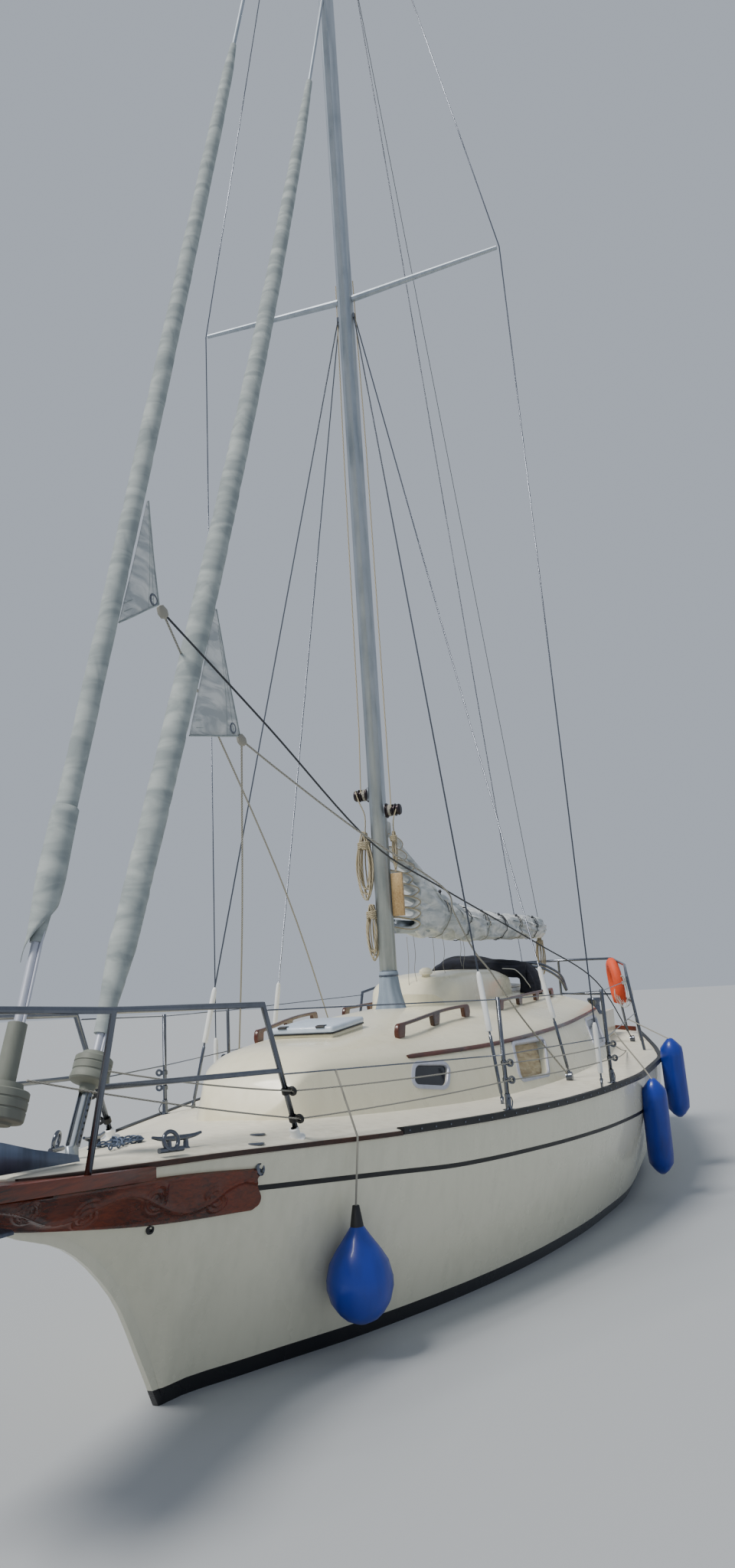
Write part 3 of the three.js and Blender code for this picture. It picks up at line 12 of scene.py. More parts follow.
import bmesh
import bpy
from mathutils import Matrix, Vector, noise
from mathutils.bvhtree import BVHTree
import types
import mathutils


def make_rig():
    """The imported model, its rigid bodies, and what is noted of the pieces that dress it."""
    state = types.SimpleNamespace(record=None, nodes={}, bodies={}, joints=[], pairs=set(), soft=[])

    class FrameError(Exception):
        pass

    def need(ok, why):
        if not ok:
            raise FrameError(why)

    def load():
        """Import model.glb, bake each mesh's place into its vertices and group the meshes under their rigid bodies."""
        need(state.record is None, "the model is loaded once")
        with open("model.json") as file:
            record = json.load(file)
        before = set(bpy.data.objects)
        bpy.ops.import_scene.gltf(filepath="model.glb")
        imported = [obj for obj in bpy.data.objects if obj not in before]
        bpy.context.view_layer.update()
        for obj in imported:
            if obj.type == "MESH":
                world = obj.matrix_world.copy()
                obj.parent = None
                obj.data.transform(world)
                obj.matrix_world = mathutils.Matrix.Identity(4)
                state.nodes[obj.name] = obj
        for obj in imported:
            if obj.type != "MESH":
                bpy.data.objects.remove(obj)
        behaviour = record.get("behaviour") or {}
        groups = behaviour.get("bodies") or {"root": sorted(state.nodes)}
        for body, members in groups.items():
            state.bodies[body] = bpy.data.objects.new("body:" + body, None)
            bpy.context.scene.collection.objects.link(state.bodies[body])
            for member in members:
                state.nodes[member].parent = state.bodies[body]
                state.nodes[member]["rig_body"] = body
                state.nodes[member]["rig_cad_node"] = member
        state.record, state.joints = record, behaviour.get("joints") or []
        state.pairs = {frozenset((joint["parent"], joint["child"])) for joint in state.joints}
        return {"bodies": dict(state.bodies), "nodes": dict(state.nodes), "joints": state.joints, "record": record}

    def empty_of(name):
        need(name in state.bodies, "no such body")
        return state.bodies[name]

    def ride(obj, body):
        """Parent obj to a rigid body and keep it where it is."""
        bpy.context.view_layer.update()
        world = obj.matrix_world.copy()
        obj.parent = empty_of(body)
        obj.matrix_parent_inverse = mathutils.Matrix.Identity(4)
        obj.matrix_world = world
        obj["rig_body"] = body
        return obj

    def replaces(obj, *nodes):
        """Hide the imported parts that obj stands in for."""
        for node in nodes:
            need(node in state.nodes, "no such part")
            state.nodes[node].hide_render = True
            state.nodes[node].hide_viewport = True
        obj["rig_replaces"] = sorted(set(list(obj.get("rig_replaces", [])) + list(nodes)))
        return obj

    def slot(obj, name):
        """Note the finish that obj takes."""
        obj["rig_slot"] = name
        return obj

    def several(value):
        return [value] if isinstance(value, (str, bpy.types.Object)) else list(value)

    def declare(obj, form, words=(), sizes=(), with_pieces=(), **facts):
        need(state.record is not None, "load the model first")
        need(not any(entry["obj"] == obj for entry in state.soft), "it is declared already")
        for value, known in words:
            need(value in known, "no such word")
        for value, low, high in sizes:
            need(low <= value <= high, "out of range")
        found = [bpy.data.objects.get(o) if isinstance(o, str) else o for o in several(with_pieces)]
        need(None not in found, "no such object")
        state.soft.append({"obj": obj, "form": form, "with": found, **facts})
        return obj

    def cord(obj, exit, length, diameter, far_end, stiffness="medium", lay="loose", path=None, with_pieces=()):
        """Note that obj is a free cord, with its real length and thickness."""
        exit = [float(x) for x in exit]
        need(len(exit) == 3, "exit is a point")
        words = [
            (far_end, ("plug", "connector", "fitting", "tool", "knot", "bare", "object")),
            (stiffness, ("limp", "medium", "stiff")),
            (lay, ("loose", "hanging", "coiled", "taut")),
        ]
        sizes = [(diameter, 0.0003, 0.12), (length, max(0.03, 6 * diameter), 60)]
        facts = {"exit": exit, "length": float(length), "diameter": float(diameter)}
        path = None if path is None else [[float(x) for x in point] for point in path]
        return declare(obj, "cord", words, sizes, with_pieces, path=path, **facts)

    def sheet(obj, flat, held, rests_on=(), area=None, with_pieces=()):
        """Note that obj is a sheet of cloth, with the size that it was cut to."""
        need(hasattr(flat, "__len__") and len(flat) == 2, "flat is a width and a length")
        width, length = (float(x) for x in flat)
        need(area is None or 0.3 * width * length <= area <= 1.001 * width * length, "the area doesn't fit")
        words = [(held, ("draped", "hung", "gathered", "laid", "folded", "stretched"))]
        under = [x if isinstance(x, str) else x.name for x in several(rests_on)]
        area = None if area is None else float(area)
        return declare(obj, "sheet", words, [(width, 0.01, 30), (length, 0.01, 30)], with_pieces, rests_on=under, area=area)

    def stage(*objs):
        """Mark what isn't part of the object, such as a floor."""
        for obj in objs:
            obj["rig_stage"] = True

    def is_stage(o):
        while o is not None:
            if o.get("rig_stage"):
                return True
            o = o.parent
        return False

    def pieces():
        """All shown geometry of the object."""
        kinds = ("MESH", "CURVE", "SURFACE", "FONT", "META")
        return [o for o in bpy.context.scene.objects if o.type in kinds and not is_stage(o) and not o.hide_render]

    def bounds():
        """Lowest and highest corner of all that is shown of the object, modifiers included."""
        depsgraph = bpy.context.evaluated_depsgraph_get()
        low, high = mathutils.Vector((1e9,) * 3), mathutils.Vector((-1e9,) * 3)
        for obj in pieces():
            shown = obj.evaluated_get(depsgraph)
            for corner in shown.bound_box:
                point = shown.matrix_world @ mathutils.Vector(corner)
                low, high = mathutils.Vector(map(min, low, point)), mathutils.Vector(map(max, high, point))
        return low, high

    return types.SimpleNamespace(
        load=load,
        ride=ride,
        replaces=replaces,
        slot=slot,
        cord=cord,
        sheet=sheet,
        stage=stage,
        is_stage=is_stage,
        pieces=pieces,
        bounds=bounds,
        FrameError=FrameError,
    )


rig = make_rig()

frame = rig.load()
cad_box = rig.bounds()
print("bodies:", ", ".join(frame["bodies"]))
print("solids:", len(frame["nodes"]))

# %% [markdown]
# ## The camera
#
# The photograph was taken from the quay, off the port bow, with a phone held a little above eye
# height and tilted up. The place, the three angles and the focal length were solved from points
# whose place on the boat is known, so the render can be laid over the photograph.

# %% Camera
VIEWPOINT = Vector((6.998, 2.622, 1.685))
YAW = 0.367
PITCH = 0.175
ROLL = -0.063
FOCAL_PIXELS = 1377.6
PHOTO_HEIGHT = 2048

forward = Vector((-math.cos(YAW) * math.cos(PITCH), -math.sin(YAW) * math.cos(PITCH), math.sin(PITCH)))
level = Vector((-math.sin(YAW), math.cos(YAW), 0))
upright = level.cross(forward)
right = math.cos(ROLL) * level + math.sin(ROLL) * upright
above = math.cos(ROLL) * upright - math.sin(ROLL) * level

camera_data = bpy.data.cameras.new("camera")
camera_data.sensor_width = 36
camera_data.lens = FOCAL_PIXELS * camera_data.sensor_width / PHOTO_HEIGHT
camera_data.clip_end = 200
camera = bpy.data.objects.new("camera", camera_data)
bpy.context.collection.objects.link(camera)
turn = Matrix((right, above, -forward)).transposed()
camera.matrix_world = Matrix.Translation(VIEWPOINT) @ turn.to_4x4()
bpy.context.scene.camera = camera
print("lens:", round(camera_data.lens, 2), "mm")

# %% [markdown]
# ## Floor and light
#
# A yacht afloat has no floor, so the plain pale floor lies where the water would be. A world of
# even light stands for a bright sky, and one broad sun lamp gives the soft shadows of a studio.

# %% Floor and light
SKY = (0.78, 0.86, 0.98, 1)
SKY_STRENGTH = 0.55
SUN_STRENGTH, SUN_WIDTH = 3.6, math.radians(18)
SUN_FROM = Vector((0.62, -0.42, 1.15))
FLOOR_SIZE = 90

floor_shape = bmesh.new()
bmesh.ops.create_grid(floor_shape, x_segments=1, y_segments=1, size=FLOOR_SIZE / 2)
floor_mesh = bpy.data.meshes.new("floor")
floor_shape.to_mesh(floor_mesh)
floor_shape.free()
floor = bpy.data.objects.new("floor", floor_mesh)
bpy.context.collection.objects.link(floor)
floor_finish = bpy.data.materials.new("studio floor")
floor_finish.use_nodes = True
floor_shader = floor_finish.node_tree.nodes["Principled BSDF"]
floor_shader.inputs["Base Color"].default_value = (0.4, 0.42, 0.44, 1)
floor_shader.inputs["Roughness"].default_value = 0.6
floor_mesh.materials.append(floor_finish)
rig.stage(floor)

world = bpy.data.worlds.new("studio")
world.use_nodes = True
world.node_tree.nodes["Background"].inputs["Color"].default_value = SKY
world.node_tree.nodes["Background"].inputs["Strength"].default_value = SKY_STRENGTH
bpy.context.scene.world = world

lamp_data = bpy.data.lights.new("soft_sun", "SUN")
lamp_data.energy = SUN_STRENGTH
lamp_data.angle = SUN_WIDTH
lamp_data.color = (1.0, 0.96, 0.9)
lamp = bpy.data.objects.new("soft_sun", lamp_data)
lamp.matrix_world = SUN_FROM.to_track_quat("Z", "Y").to_matrix().to_4x4()
bpy.context.collection.objects.link(lamp)
print("sun height:", round(math.degrees(math.asin(SUN_FROM.normalized().z))), "degrees")

# %% [markdown]
# ## Shared effects
#
# Gelcoat, metal, wood and cloth each need colour that varies, a gloss that varies and a fine
# relief. Building that once as a node group, with named inputs, keeps every finish short: a
# material places the group and gives it its own colours and sizes.

# %% Group helper
def tone(code, strength=1.0):
    """A colour from its web code, in the linear values that shaders use."""
    parts = [int(code[i:i + 2], 16) / 255 for i in (0, 2, 4)]
    linear = [part / 12.92 if part < 0.04 else ((part + 0.055) / 1.055) ** 2.4 for part in parts]
    return (*[part * strength for part in linear], 1)


def new_group(name, numbers, colours=(), outputs=("Colour", "Roughness", "Height")):
    """An empty node group with colour and number inputs, and its two end nodes."""
    tree = bpy.data.node_groups.new(name, "ShaderNodeTree")
    for label in colours:
        tree.interface.new_socket(label, in_out="INPUT", socket_type="NodeSocketColor")
    for label, value in numbers.items():
        socket = tree.interface.new_socket(label, in_out="INPUT", socket_type="NodeSocketFloat")
        socket.default_value = value
    for label in outputs:
        kind = "NodeSocketColor" if label == "Colour" else "NodeSocketFloat"
        tree.interface.new_socket(label, in_out="OUTPUT", socket_type=kind)
    return tree, tree.nodes.new("NodeGroupInput").outputs, tree.nodes.new("NodeGroupOutput").inputs


def node(tree, kind, values=None, **settings):
    """A node with its settings, and its inputs linked to sockets or set to values."""
    made = tree.nodes.new(kind)
    for label, value in settings.items():
        setattr(made, label, value)
    for label, value in (values or {}).items():
        if isinstance(value, bpy.types.NodeSocket):
            tree.links.new(value, made.inputs[label])
        else:
            made.inputs[label].default_value = value
    return made


# %% Helpers for values in a group
def blend_colours(tree, share, first, second):
    """A colour between two, by a share from 0 to 1."""
    mixer = node(tree, "ShaderNodeMix", data_type="RGBA")
    tree.links.new(share, mixer.inputs[0])
    for socket, value in ((mixer.inputs[6], first), (mixer.inputs[7], second)):
        if isinstance(value, bpy.types.NodeSocket):
            tree.links.new(value, socket)
        else:
            socket.default_value = value
    return mixer.outputs[2]


def spread(tree, value, low, high, to_low, to_high):
    """A value moved from one range to another, and kept inside it."""
    made = node(tree, "ShaderNodeMapRange", {"Value": value, "From Min": low, "From Max": high})
    for label, end in (("To Min", to_low), ("To Max", to_high)):
        if isinstance(end, bpy.types.NodeSocket):
            tree.links.new(end, made.inputs[label])
        else:
            made.inputs[label].default_value = end
    return made.outputs["Result"]


def maths(tree, operation, *values):
    """The result of a math node over sockets or plain numbers."""
    return node(tree, "ShaderNodeMath", dict(enumerate(values)), operation=operation).outputs[0]


def clouds(tree, place, scale, detail, **more):
    """The value of a noise texture. More of its inputs are given by their names."""
    return node(tree, "ShaderNodeTexNoise",
                {"Vector": place, "Scale": scale, "Detail": detail, **more}).outputs["Fac"]


def stretched(tree, place, **settings):
    """A place whose axes are scaled or turned."""
    return node(tree, "ShaderNodeMapping", {"Vector": place, **settings}).outputs[0]


def deliver(tree, made, *sockets):
    """Joins a group's results to its outputs: colour, roughness and height."""
    for label, socket in zip(("Colour", "Roughness", "Height"), sockets):
        tree.links.new(socket, made[label])


# %% Group for moulded and painted surfaces
def weathered_group():
    """Patches of soil or fading over a colour, a gloss that varies, and a fine grain."""
    tree, given, made = new_group(
        "weathered",
        {"Patches": 0.3, "Patch Scale": 1.5, "Gloss": 0.3, "Gloss Spread": 0.15, "Grain Scale": 300.0},
        colours=("Colour", "Soiled"))
    place = node(tree, "ShaderNodeTexCoord").outputs["Object"]
    broad = clouds(tree, place, given["Patch Scale"], 5.0, Roughness=0.62)
    fine = clouds(tree, stretched(tree, place, Scale=(9.0, 9.0, 1.2)), 2.4, 4.0)
    soiled = spread(tree, maths(tree, "MULTIPLY", broad, fine), 0.2, 0.42, 0.0, given["Patches"])
    colour = blend_colours(tree, soiled, given["Colour"], given["Soiled"])
    rougher = maths(tree, "ADD", given["Gloss"], given["Gloss Spread"])
    roughness = spread(tree, broad, 0.35, 0.65, given["Gloss"], rougher)
    deliver(tree, made, colour, roughness, clouds(tree, place, given["Grain Scale"], 2.0))
    return tree


weathered = weathered_group()
print("weathered nodes:", len(weathered.nodes))

# %% Group for wood
def wood_group():
    """Long grain lines that run fore and aft, under varnish that has worn a little."""
    tree, given, made = new_group(
        "wood grain", {"Grain Scale": 14.0, "Gloss": 0.25, "Gloss Spread": 0.2},
        colours=("Light", "Dark"))
    place = node(tree, "ShaderNodeTexCoord").outputs["Object"]
    long = stretched(tree, place, Scale=(0.55, 6.0, 6.0))
    lines = clouds(tree, long, given["Grain Scale"], 6.0, Roughness=0.7, Distortion=0.6)
    broad = clouds(tree, place, 3.0, 3.0)
    share = spread(tree, maths(tree, "ADD", lines, broad), 0.75, 1.25, 0.0, 1.0)
    colour = blend_colours(tree, share, given["Dark"], given["Light"])
    rougher = maths(tree, "ADD", given["Gloss"], given["Gloss Spread"])
    deliver(tree, made, colour, spread(tree, broad, 0.4, 0.6, given["Gloss"], rougher), lines)
    return tree


wood_grain = wood_group()
print("wood nodes:", len(wood_grain.nodes))

# %% Group for cloth
def cloth_group():
    """A plain weave of crossed threads, with soft creases whose low ground takes the Shade colour as painted shade."""
    tree, given, made = new_group(
        "cloth", {"Thread Scale": 260.0, "Crease Scale": 7.0, "Gloss": 0.75, "Creases": 1.0},
        colours=("Colour", "Shade"))
    place = node(tree, "ShaderNodeTexCoord").outputs["Object"]
    threads = [node(tree, "ShaderNodeTexWave", {"Vector": place, "Scale": given["Thread Scale"],
                                                "Distortion": 0.4}, bands_direction=way).outputs["Fac"]
               for way in ("X", "Z")]
    weave = maths(tree, "ADD", *threads)
    slant = stretched(tree, place, Rotation=(0.5, 0.6, 0.2), Scale=(1.0, 1.0, 3.2))
    crease = clouds(tree, slant, given["Crease Scale"], 4.0, Distortion=0.9)
    # Painted shade: the cloth turns to its Shade colour where the crease noise is low, in the hollows of its folds.
    crease_shade = spread(tree, crease, 0.38, 0.66, 0.0, 1.0)
    colour = blend_colours(tree, crease_shade, given["Shade"], given["Colour"])
    folds = maths(tree, "MULTIPLY", crease, given["Creases"])
    relief = maths(tree, "MULTIPLY_ADD", weave, 0.03, folds)
    deliver(tree, made, colour, spread(tree, crease, 0.3, 0.7, 0.92, given["Gloss"]), relief)
    return tree


cloth = cloth_group()
print("cloth nodes:", len(cloth.nodes))

# %% Group for ropes
def braid_group():
    """Strands that wind round a rope, darker in the grooves between them as painted shade. The UV map gives metres
    along it and turns round it.
    """
    tree, given, made = new_group("braid", {"Pitch": 0.02, "Crossed": 1.0, "Gloss": 0.75},
                                  colours=("Colour", "Fleck"))
    uv = node(tree, "ShaderNodeSeparateXYZ", {"Vector": node(tree, "ShaderNodeUVMap").outputs["UV"]})
    along = maths(tree, "DIVIDE", uv.outputs["X"], given["Pitch"])
    waves = []
    for strands in (3.0, -3.0):
        turns = maths(tree, "MULTIPLY_ADD", uv.outputs["Y"], strands, along)
        waves.append(maths(tree, "SINE", maths(tree, "MULTIPLY", turns, 2 * math.pi)))
    second = maths(tree, "MULTIPLY", waves[1], given["Crossed"])
    share = spread(tree, maths(tree, "ADD", waves[0], second), -1.0, 1.0, 0.0, 1.0)
    # Painted shade: the colour darkens where the strands sink into the grooves between them.
    colour = blend_colours(tree, share, given["Fleck"], given["Colour"])
    deliver(tree, made, colour, spread(tree, share, 0.0, 1.0, 0.95, given["Gloss"]), share)
    return tree


braid = braid_group()
print("braid nodes:", len(braid.nodes))

# %% [markdown]
# ## Finishes
#
# One helper places a group in a new material and joins it to the shader. The colours are those of
# the real boat in open shade: cream gelcoat, red-brown varnished teak, grey spars, dull grey
# sailcloth, dark canvas and royal blue fenders.

# %% Finishes
def finish(name, group, values, bump=0.15, depth=0.001, metal=0.0, coat=0.0):
    """A material whose colour, gloss and relief come from a group."""
    material = bpy.data.materials.new(name)
    material.use_nodes = True
    tree = material.node_tree
    shader = tree.nodes["Principled BSDF"]
    shader.inputs["Metallic"].default_value = metal
    shader.inputs["Coat Weight"].default_value = coat
    shader.inputs["Coat Roughness"].default_value = 0.08
    effect = node(tree, "ShaderNodeGroup", node_tree=group)
    for label, value in values.items():
        effect.inputs[label].default_value = value
    relief = node(tree, "ShaderNodeBump", {"Height": effect.outputs["Height"], "Strength": bump,
                                           "Distance": depth})
    tree.links.new(effect.outputs["Colour"], shader.inputs["Base Color"])
    tree.links.new(effect.outputs["Roughness"], shader.inputs["Roughness"])
    tree.links.new(relief.outputs["Normal"], shader.inputs["Normal"])
    return material


def painted(name, code, soiled, gloss, patches=0.35, **more):
    """A moulded or painted finish, from the web codes of its clean and its soiled colour."""
    return finish(name, weathered, {"Colour": tone(code), "Soiled": tone(soiled), "Gloss": gloss,
                                    "Patches": patches}, **more)


# %% Moulded, painted and metal finishes
GELCOAT = painted("cream gelcoat", "ebe5ca", "cdc5a6", 0.24, patches=0.3, bump=0.03, coat=0.3)
DECK = painted("deck paint", "e9e4d2", "c4bda6", 0.45, patches=0.5, bump=0.35)
# Polished steel is given a dark blue-grey colour: painted reflection of dark, blue surroundings over the steel's own
# grey.
STEEL = painted("polished stainless", "70757f", "454a54", 0.14, metal=1.0, bump=0.03)
GALVANISED = painted("galvanised steel", "66748c", "424c5c", 0.5, patches=0.9, metal=0.55, bump=0.3)
ANODISED = painted("anodised alloy", "a9b2bb", "7c8894", 0.42, patches=0.7, metal=0.75, bump=0.05)
BLACK_RAIL = painted("black rail", "0c0d10", "222326", 0.42, patches=0.6)
BRONZE = painted("bronze", "8a6a45", "40332a", 0.35, patches=0.8, metal=1.0)
WINCH_BRONZE = painted("dark winch bronze", "3b3438", "1d1a1d", 0.3, patches=0.8, metal=0.8)
DRUM_GREY = painted("grey drum plastic", "777b72", "50544d", 0.55, patches=0.5)
BOOT_GREY = painted("mast collar cloth", "8e9cac", "6f7c8b", 0.8, patches=0.7, bump=0.5)
ANTIFOUL = painted("antifouling", "4a2220", "2b1b1a", 0.8, patches=0.8, bump=0.4)
FENDER_BLUE = painted("blue vinyl", "0c329c", "08216b", 0.32, patches=0.6, bump=0.05, coat=0.2)
FENDER_BLACK = painted("black vinyl", "15161b", "2c2d33", 0.35, patches=0.5)
ORANGE = painted("orange buoy cover", "e4532a", "b8381c", 0.6, patches=0.5, bump=0.3)
WHITE_PLASTIC = painted("white plastic", "eef0ef", "c5c8c6", 0.35, patches=0.5)
# The fore and aft panes are opaque and near black: painted shade of the dim cabin behind the glass.
DARK_GLASS = painted("dark window glass", "0c1016", "171c22", 0.04, patches=0.4, bump=0.0, coat=0.6)
CLEAR_GLASS = painted("clear window glass", "9fb2ae", "b9c4bd", 0.03, patches=0.4, bump=0.0)
CLEAR_GLASS.node_tree.nodes["Principled BSDF"].inputs["Alpha"].default_value = 0.12
FRAME_ALLOY = painted("window frame alloy", "c3c6d2", "9a9eac", 0.38, patches=0.5, metal=0.4)
# The hatch lid's pale blue is partly painted shade: its sides show the sky reflected in shade, and its white front
# takes the same blue.
LID_SKY_SHADE = painted("hatch lid", "c6d3e2", "9fb0c4", 0.3, patches=0.6, coat=0.2)
BLACK_PLASTIC = painted("black plastic", "101114", "2b2c30", 0.4, patches=0.5)


# %% Wood and cloth finishes
def wooden(name, light, dark, bump, coat=0.0, gloss=0.25):
    """A wood finish, from the colours of its light and its dark grain."""
    return finish(name, wood_grain, {"Light": tone(light), "Dark": tone(dark), "Gloss": gloss},
                  bump=bump, coat=coat)


def woven(name, colour, shade, creases, bump, depth):
    """A cloth finish, with creases that lie closer for a larger number."""
    return finish(name, cloth, {"Colour": tone(colour), "Shade": tone(shade), "Crease Scale": creases},
                  bump=bump, depth=depth)


TEAK = wooden("varnished teak", "7a2e08", "260c02", 0.12, coat=0.2)
RAIL_TEAK = wooden("dark varnished teak", "5a240e", "1f0b04", 0.12, coat=0.3)
DARK_TEAK = wooden("weathered dark teak", "4a2c1e", "22130d", 0.25, gloss=0.5)
# Each cloth's second colour is painted shade that fills the hollows of its creases.
SAIL_GREY = woven("grey sail cover cloth", "a9b1af", "8b9495", 4.0, 0.3, 0.008)
SAIL_WHITE = woven("white sailcloth", "eef0ee", "b4bbbe", 5.0, 0.6, 0.022)
CURTAIN = woven("curtain cloth", "ecd3a2", "bf9d68", 9.0, 0.4, 0.006)
CANVAS = woven("dark canvas", "1a1f30", "0d101a", 5.0, 0.6, 0.015)
print("finishes:", len(bpy.data.materials))

# %% Rope finishes
def rope_finish(name, code, groove_shade, pitch=0.02, crossed=1.0):
    """A rope finish. The strands cross, as in a braid, or all run one way."""
    return finish(name, braid, {"Colour": tone(code), "Fleck": tone(groove_shade), "Pitch": pitch,
                                "Crossed": crossed}, bump=0.6, depth=0.002)


# Each rope's second colour is painted shade in the grooves between its strands.
GREY_ROPE = rope_finish("grey rope", "b4b1a6", "77756c")
CREAM_ROPE = rope_finish("cream rope", "cfc3a6", "8d8268", pitch=0.03, crossed=0.0)
DARK_ROPE = rope_finish("dark rope", "4a4d52", "25272b")
WHITE_ROPE = rope_finish("white line", "dcdcd4", "a3a39a")
WIRE = rope_finish("wire rope", "8c9196", "4d5155", pitch=0.012, crossed=0.0)
WIRE.node_tree.nodes["Principled BSDF"].inputs["Metallic"].default_value = 0.9
print("materials:", len(bpy.data.materials))

# %% [markdown]
# ## Helpers for shapes
#
# Long smooth skins, such as a hull or a sail, are a flat grid whose corners are moved onto rings
# of points. Smooth curves through a few measured stations give the rings in between. Each curve
# is monotone: it never swings past the stations, so the skin stays on the solid below it.

# %% Shape helpers
def mm(x, y=0.0, z=0.0):
    """A point given in millimetres, in metres."""
    return Vector((x, y, z)) / 1000


def monotone(knots, values):
    """A smooth curve through values at rising knots that never swings past them."""
    gaps = [b - a for a, b in zip(knots, knots[1:])]
    slopes = [(b - a) / gap for a, b, gap in zip(values, values[1:], gaps)]
    middle = [0.0 if a * b <= 0 else 2 * a * b / (a + b) for a, b in zip(slopes, slopes[1:])]
    leans = [slopes[0], *middle, slopes[-1]]

    def value(knot):
        k = min(max(bisect_right(knots, knot) - 1, 0), len(gaps) - 1)
        gap = gaps[k]
        t = (knot - knots[k]) / gap
        near = (1 + 2 * t) * (1 - t) ** 2 * values[k] + t * (1 - t) ** 2 * gap * leans[k]
        return near + t * t * (3 - 2 * t) * values[k + 1] + t * t * (t - 1) * gap * leans[k + 1]

    return value


def more_rings(rings, knots, parts):
    """Rings between the given ones, on smooth curves through their points."""
    curves = [[monotone(knots, [ring[j][axis] for ring in rings]) for axis in range(3)]
              for j in range(len(rings[0]))]
    stops = [a + (b - a) * i / parts for a, b in zip(knots, knots[1:]) for i in range(parts)]
    return [[Vector([axis(stop) for axis in curve]) for curve in curves] for stop in [*stops, knots[-1]]]


def follow(rows, column, scale=1000):
    """A smooth curve of one column of a table over its first one, which falls towards the stern."""
    return monotone([-row[0] / scale for row in rows], [row[column] / scale for row in rows])


# %% Skins
def skin(rings, closed=False, capped=False):
    """A grid moved onto rings of points. closed joins each ring up, capped fills the two ends."""
    rows = [[*ring, ring[0]] for ring in rings] if closed else rings
    along, across = len(rows) - 1, len(rows[0]) - 1
    bm = bmesh.new()
    bm.loops.layers.uv.new("UVMap")
    bmesh.ops.create_grid(bm, x_segments=along, y_segments=across, size=1, calc_uvs=True)
    for vert in bm.verts:
        i, j = round((vert.co.x + 1) / 2 * along), round((vert.co.y + 1) / 2 * across)
        vert.co = rows[i][j]
    bmesh.ops.remove_doubles(bm, verts=bm.verts, dist=2e-5)
    if capped:
        bmesh.ops.holes_fill(bm, edges=[edge for edge in bm.edges if edge.is_boundary], sides=0)
    bmesh.ops.recalc_face_normals(bm, faces=bm.faces)
    return bm


def solid(rings):
    """A skin of closed rings whose two ends are filled."""
    return skin(rings, closed=True, capped=True)


# %% [markdown]
# ## Hull
#
# The hull is a moulding of cream gelcoat with a clipper bow, a long keel and a leaning transom.
# It could be drawn by hand with subdivision surfaces, but a boat's lines are a table: at each
# station the builder knows the keel, the waterline and the sheer. The skin runs through those
# stations on smooth curves, and the wells and the propeller's aperture are cut out of it.

# %% Hull stations
# Columns in millimetres: station, profile bottom, canoe body bottom, half thickness of the keel,
# half breadth on the waterline, half breadth and height of the sheer, fullness of the topside.
HULL = [
    (4080, 985, 990, 12, 0, 60, 1082, 1.0), (3940, 880, 900, 14, 0, 118, 1070, 1.0),
    (3610, 750, 790, 16, 0, 205, 1042, 1.0), (3310, 500, 560, 20, 0, 285, 1018, 1.0),
    (3100, 150, 230, 24, 0, 345, 1002, 0.95), (2990, -40, 20, 28, 40, 385, 994, 0.9),
    (2630, -360, -200, 40, 205, 545, 968, 1.0), (2050, -660, -330, 60, 540, 815, 930, 1.2),
    (1210, -905, -440, 85, 910, 1125, 887, 1.5), (550, -1010, -500, 100, 1110, 1320, 868, 1.7),
    (-170, -1050, -540, 110, 1250, 1465, 858, 1.9), (-980, -1060, -560, 110, 1330, 1545, 851, 2.0),
    (-1870, -1068, -540, 100, 1290, 1540, 850, 2.0), (-2700, -1070, -430, 75, 1120, 1430, 858, 1.9),
    (-2800, -1072, -400, 70, 1090, 1412, 860, 1.9), (-3400, -150, -140, 40, 820, 1290, 872, 1.7),
    (-3640, 20, 24, 30, 560, 1236, 882, 1.5),
]
TRANSOM_X, TRANSOM_LEAN = -4300, 300
TRANSOM_Y, TRANSOM_Z, TRANSOM_FOOT = 1080, 910, 330
DECK_THICK = 30
DECK_CAMBER = 70
TOPSIDE_STEPS = 14
BILGE_STEPS = 8


def hull_half(x, keel_z, canoe_z, keel_y, water_y, sheer_y, sheer_z, full):
    """The port half of a section, from the middle of the top down to the keel."""
    top = sheer_z - DECK_THICK - 1
    crown = DECK_CAMBER * min(1, sheer_y / 900)
    half = [(0, top + crown), (sheer_y * 0.5, top + crown * 0.75)]
    foot = max(0, canoe_z)
    foot_y = keel_y if canoe_z > 0 else water_y
    for step in range(TOPSIDE_STEPS + 1):
        share = 1 - step / TOPSIDE_STEPS
        y = foot_y + (sheer_y - foot_y) * (1 - (1 - share) ** full)
        half.append((y, foot + (top - foot) * share))
    deep = min(0, canoe_z)
    for step in range(1, BILGE_STEPS + 1):
        share = step / BILGE_STEPS
        y = keel_y + (foot_y - keel_y) * (1 - share ** 1.7) ** 0.9
        half.append((y, foot + deep * share - 0.2 * step))
    half += [(keel_y * 0.8, (canoe_z + keel_z) / 2 - 2), (keel_y * 0.5, keel_z - 2.5), (0, keel_z - 3)]
    return [mm(x, y, z) for y, z in half]


# %% Rings of the hull
stations = [hull_half(*row) for row in HULL]
aft_half = hull_half(TRANSOM_X, TRANSOM_FOOT, TRANSOM_FOOT + 4, 20, 0, TRANSOM_Y, TRANSOM_Z, 2.4)
rim = (TRANSOM_Z - DECK_THICK) / 1000
for point in aft_half:
    point.x += TRANSOM_LEAN / 1000 * max(0, 1 - point.z / rim)
stations.append(aft_half)
edge_rows = [(row[0], row[5], row[6]) for row in HULL] + [(TRANSOM_X, TRANSOM_Y, TRANSOM_Z)]
hull_rings = more_rings(stations, [-row[0] / 1000 for row in edge_rows], 4)
sheer_y_at, sheer_z_at = follow(edge_rows, 1), follow(edge_rows, 2)


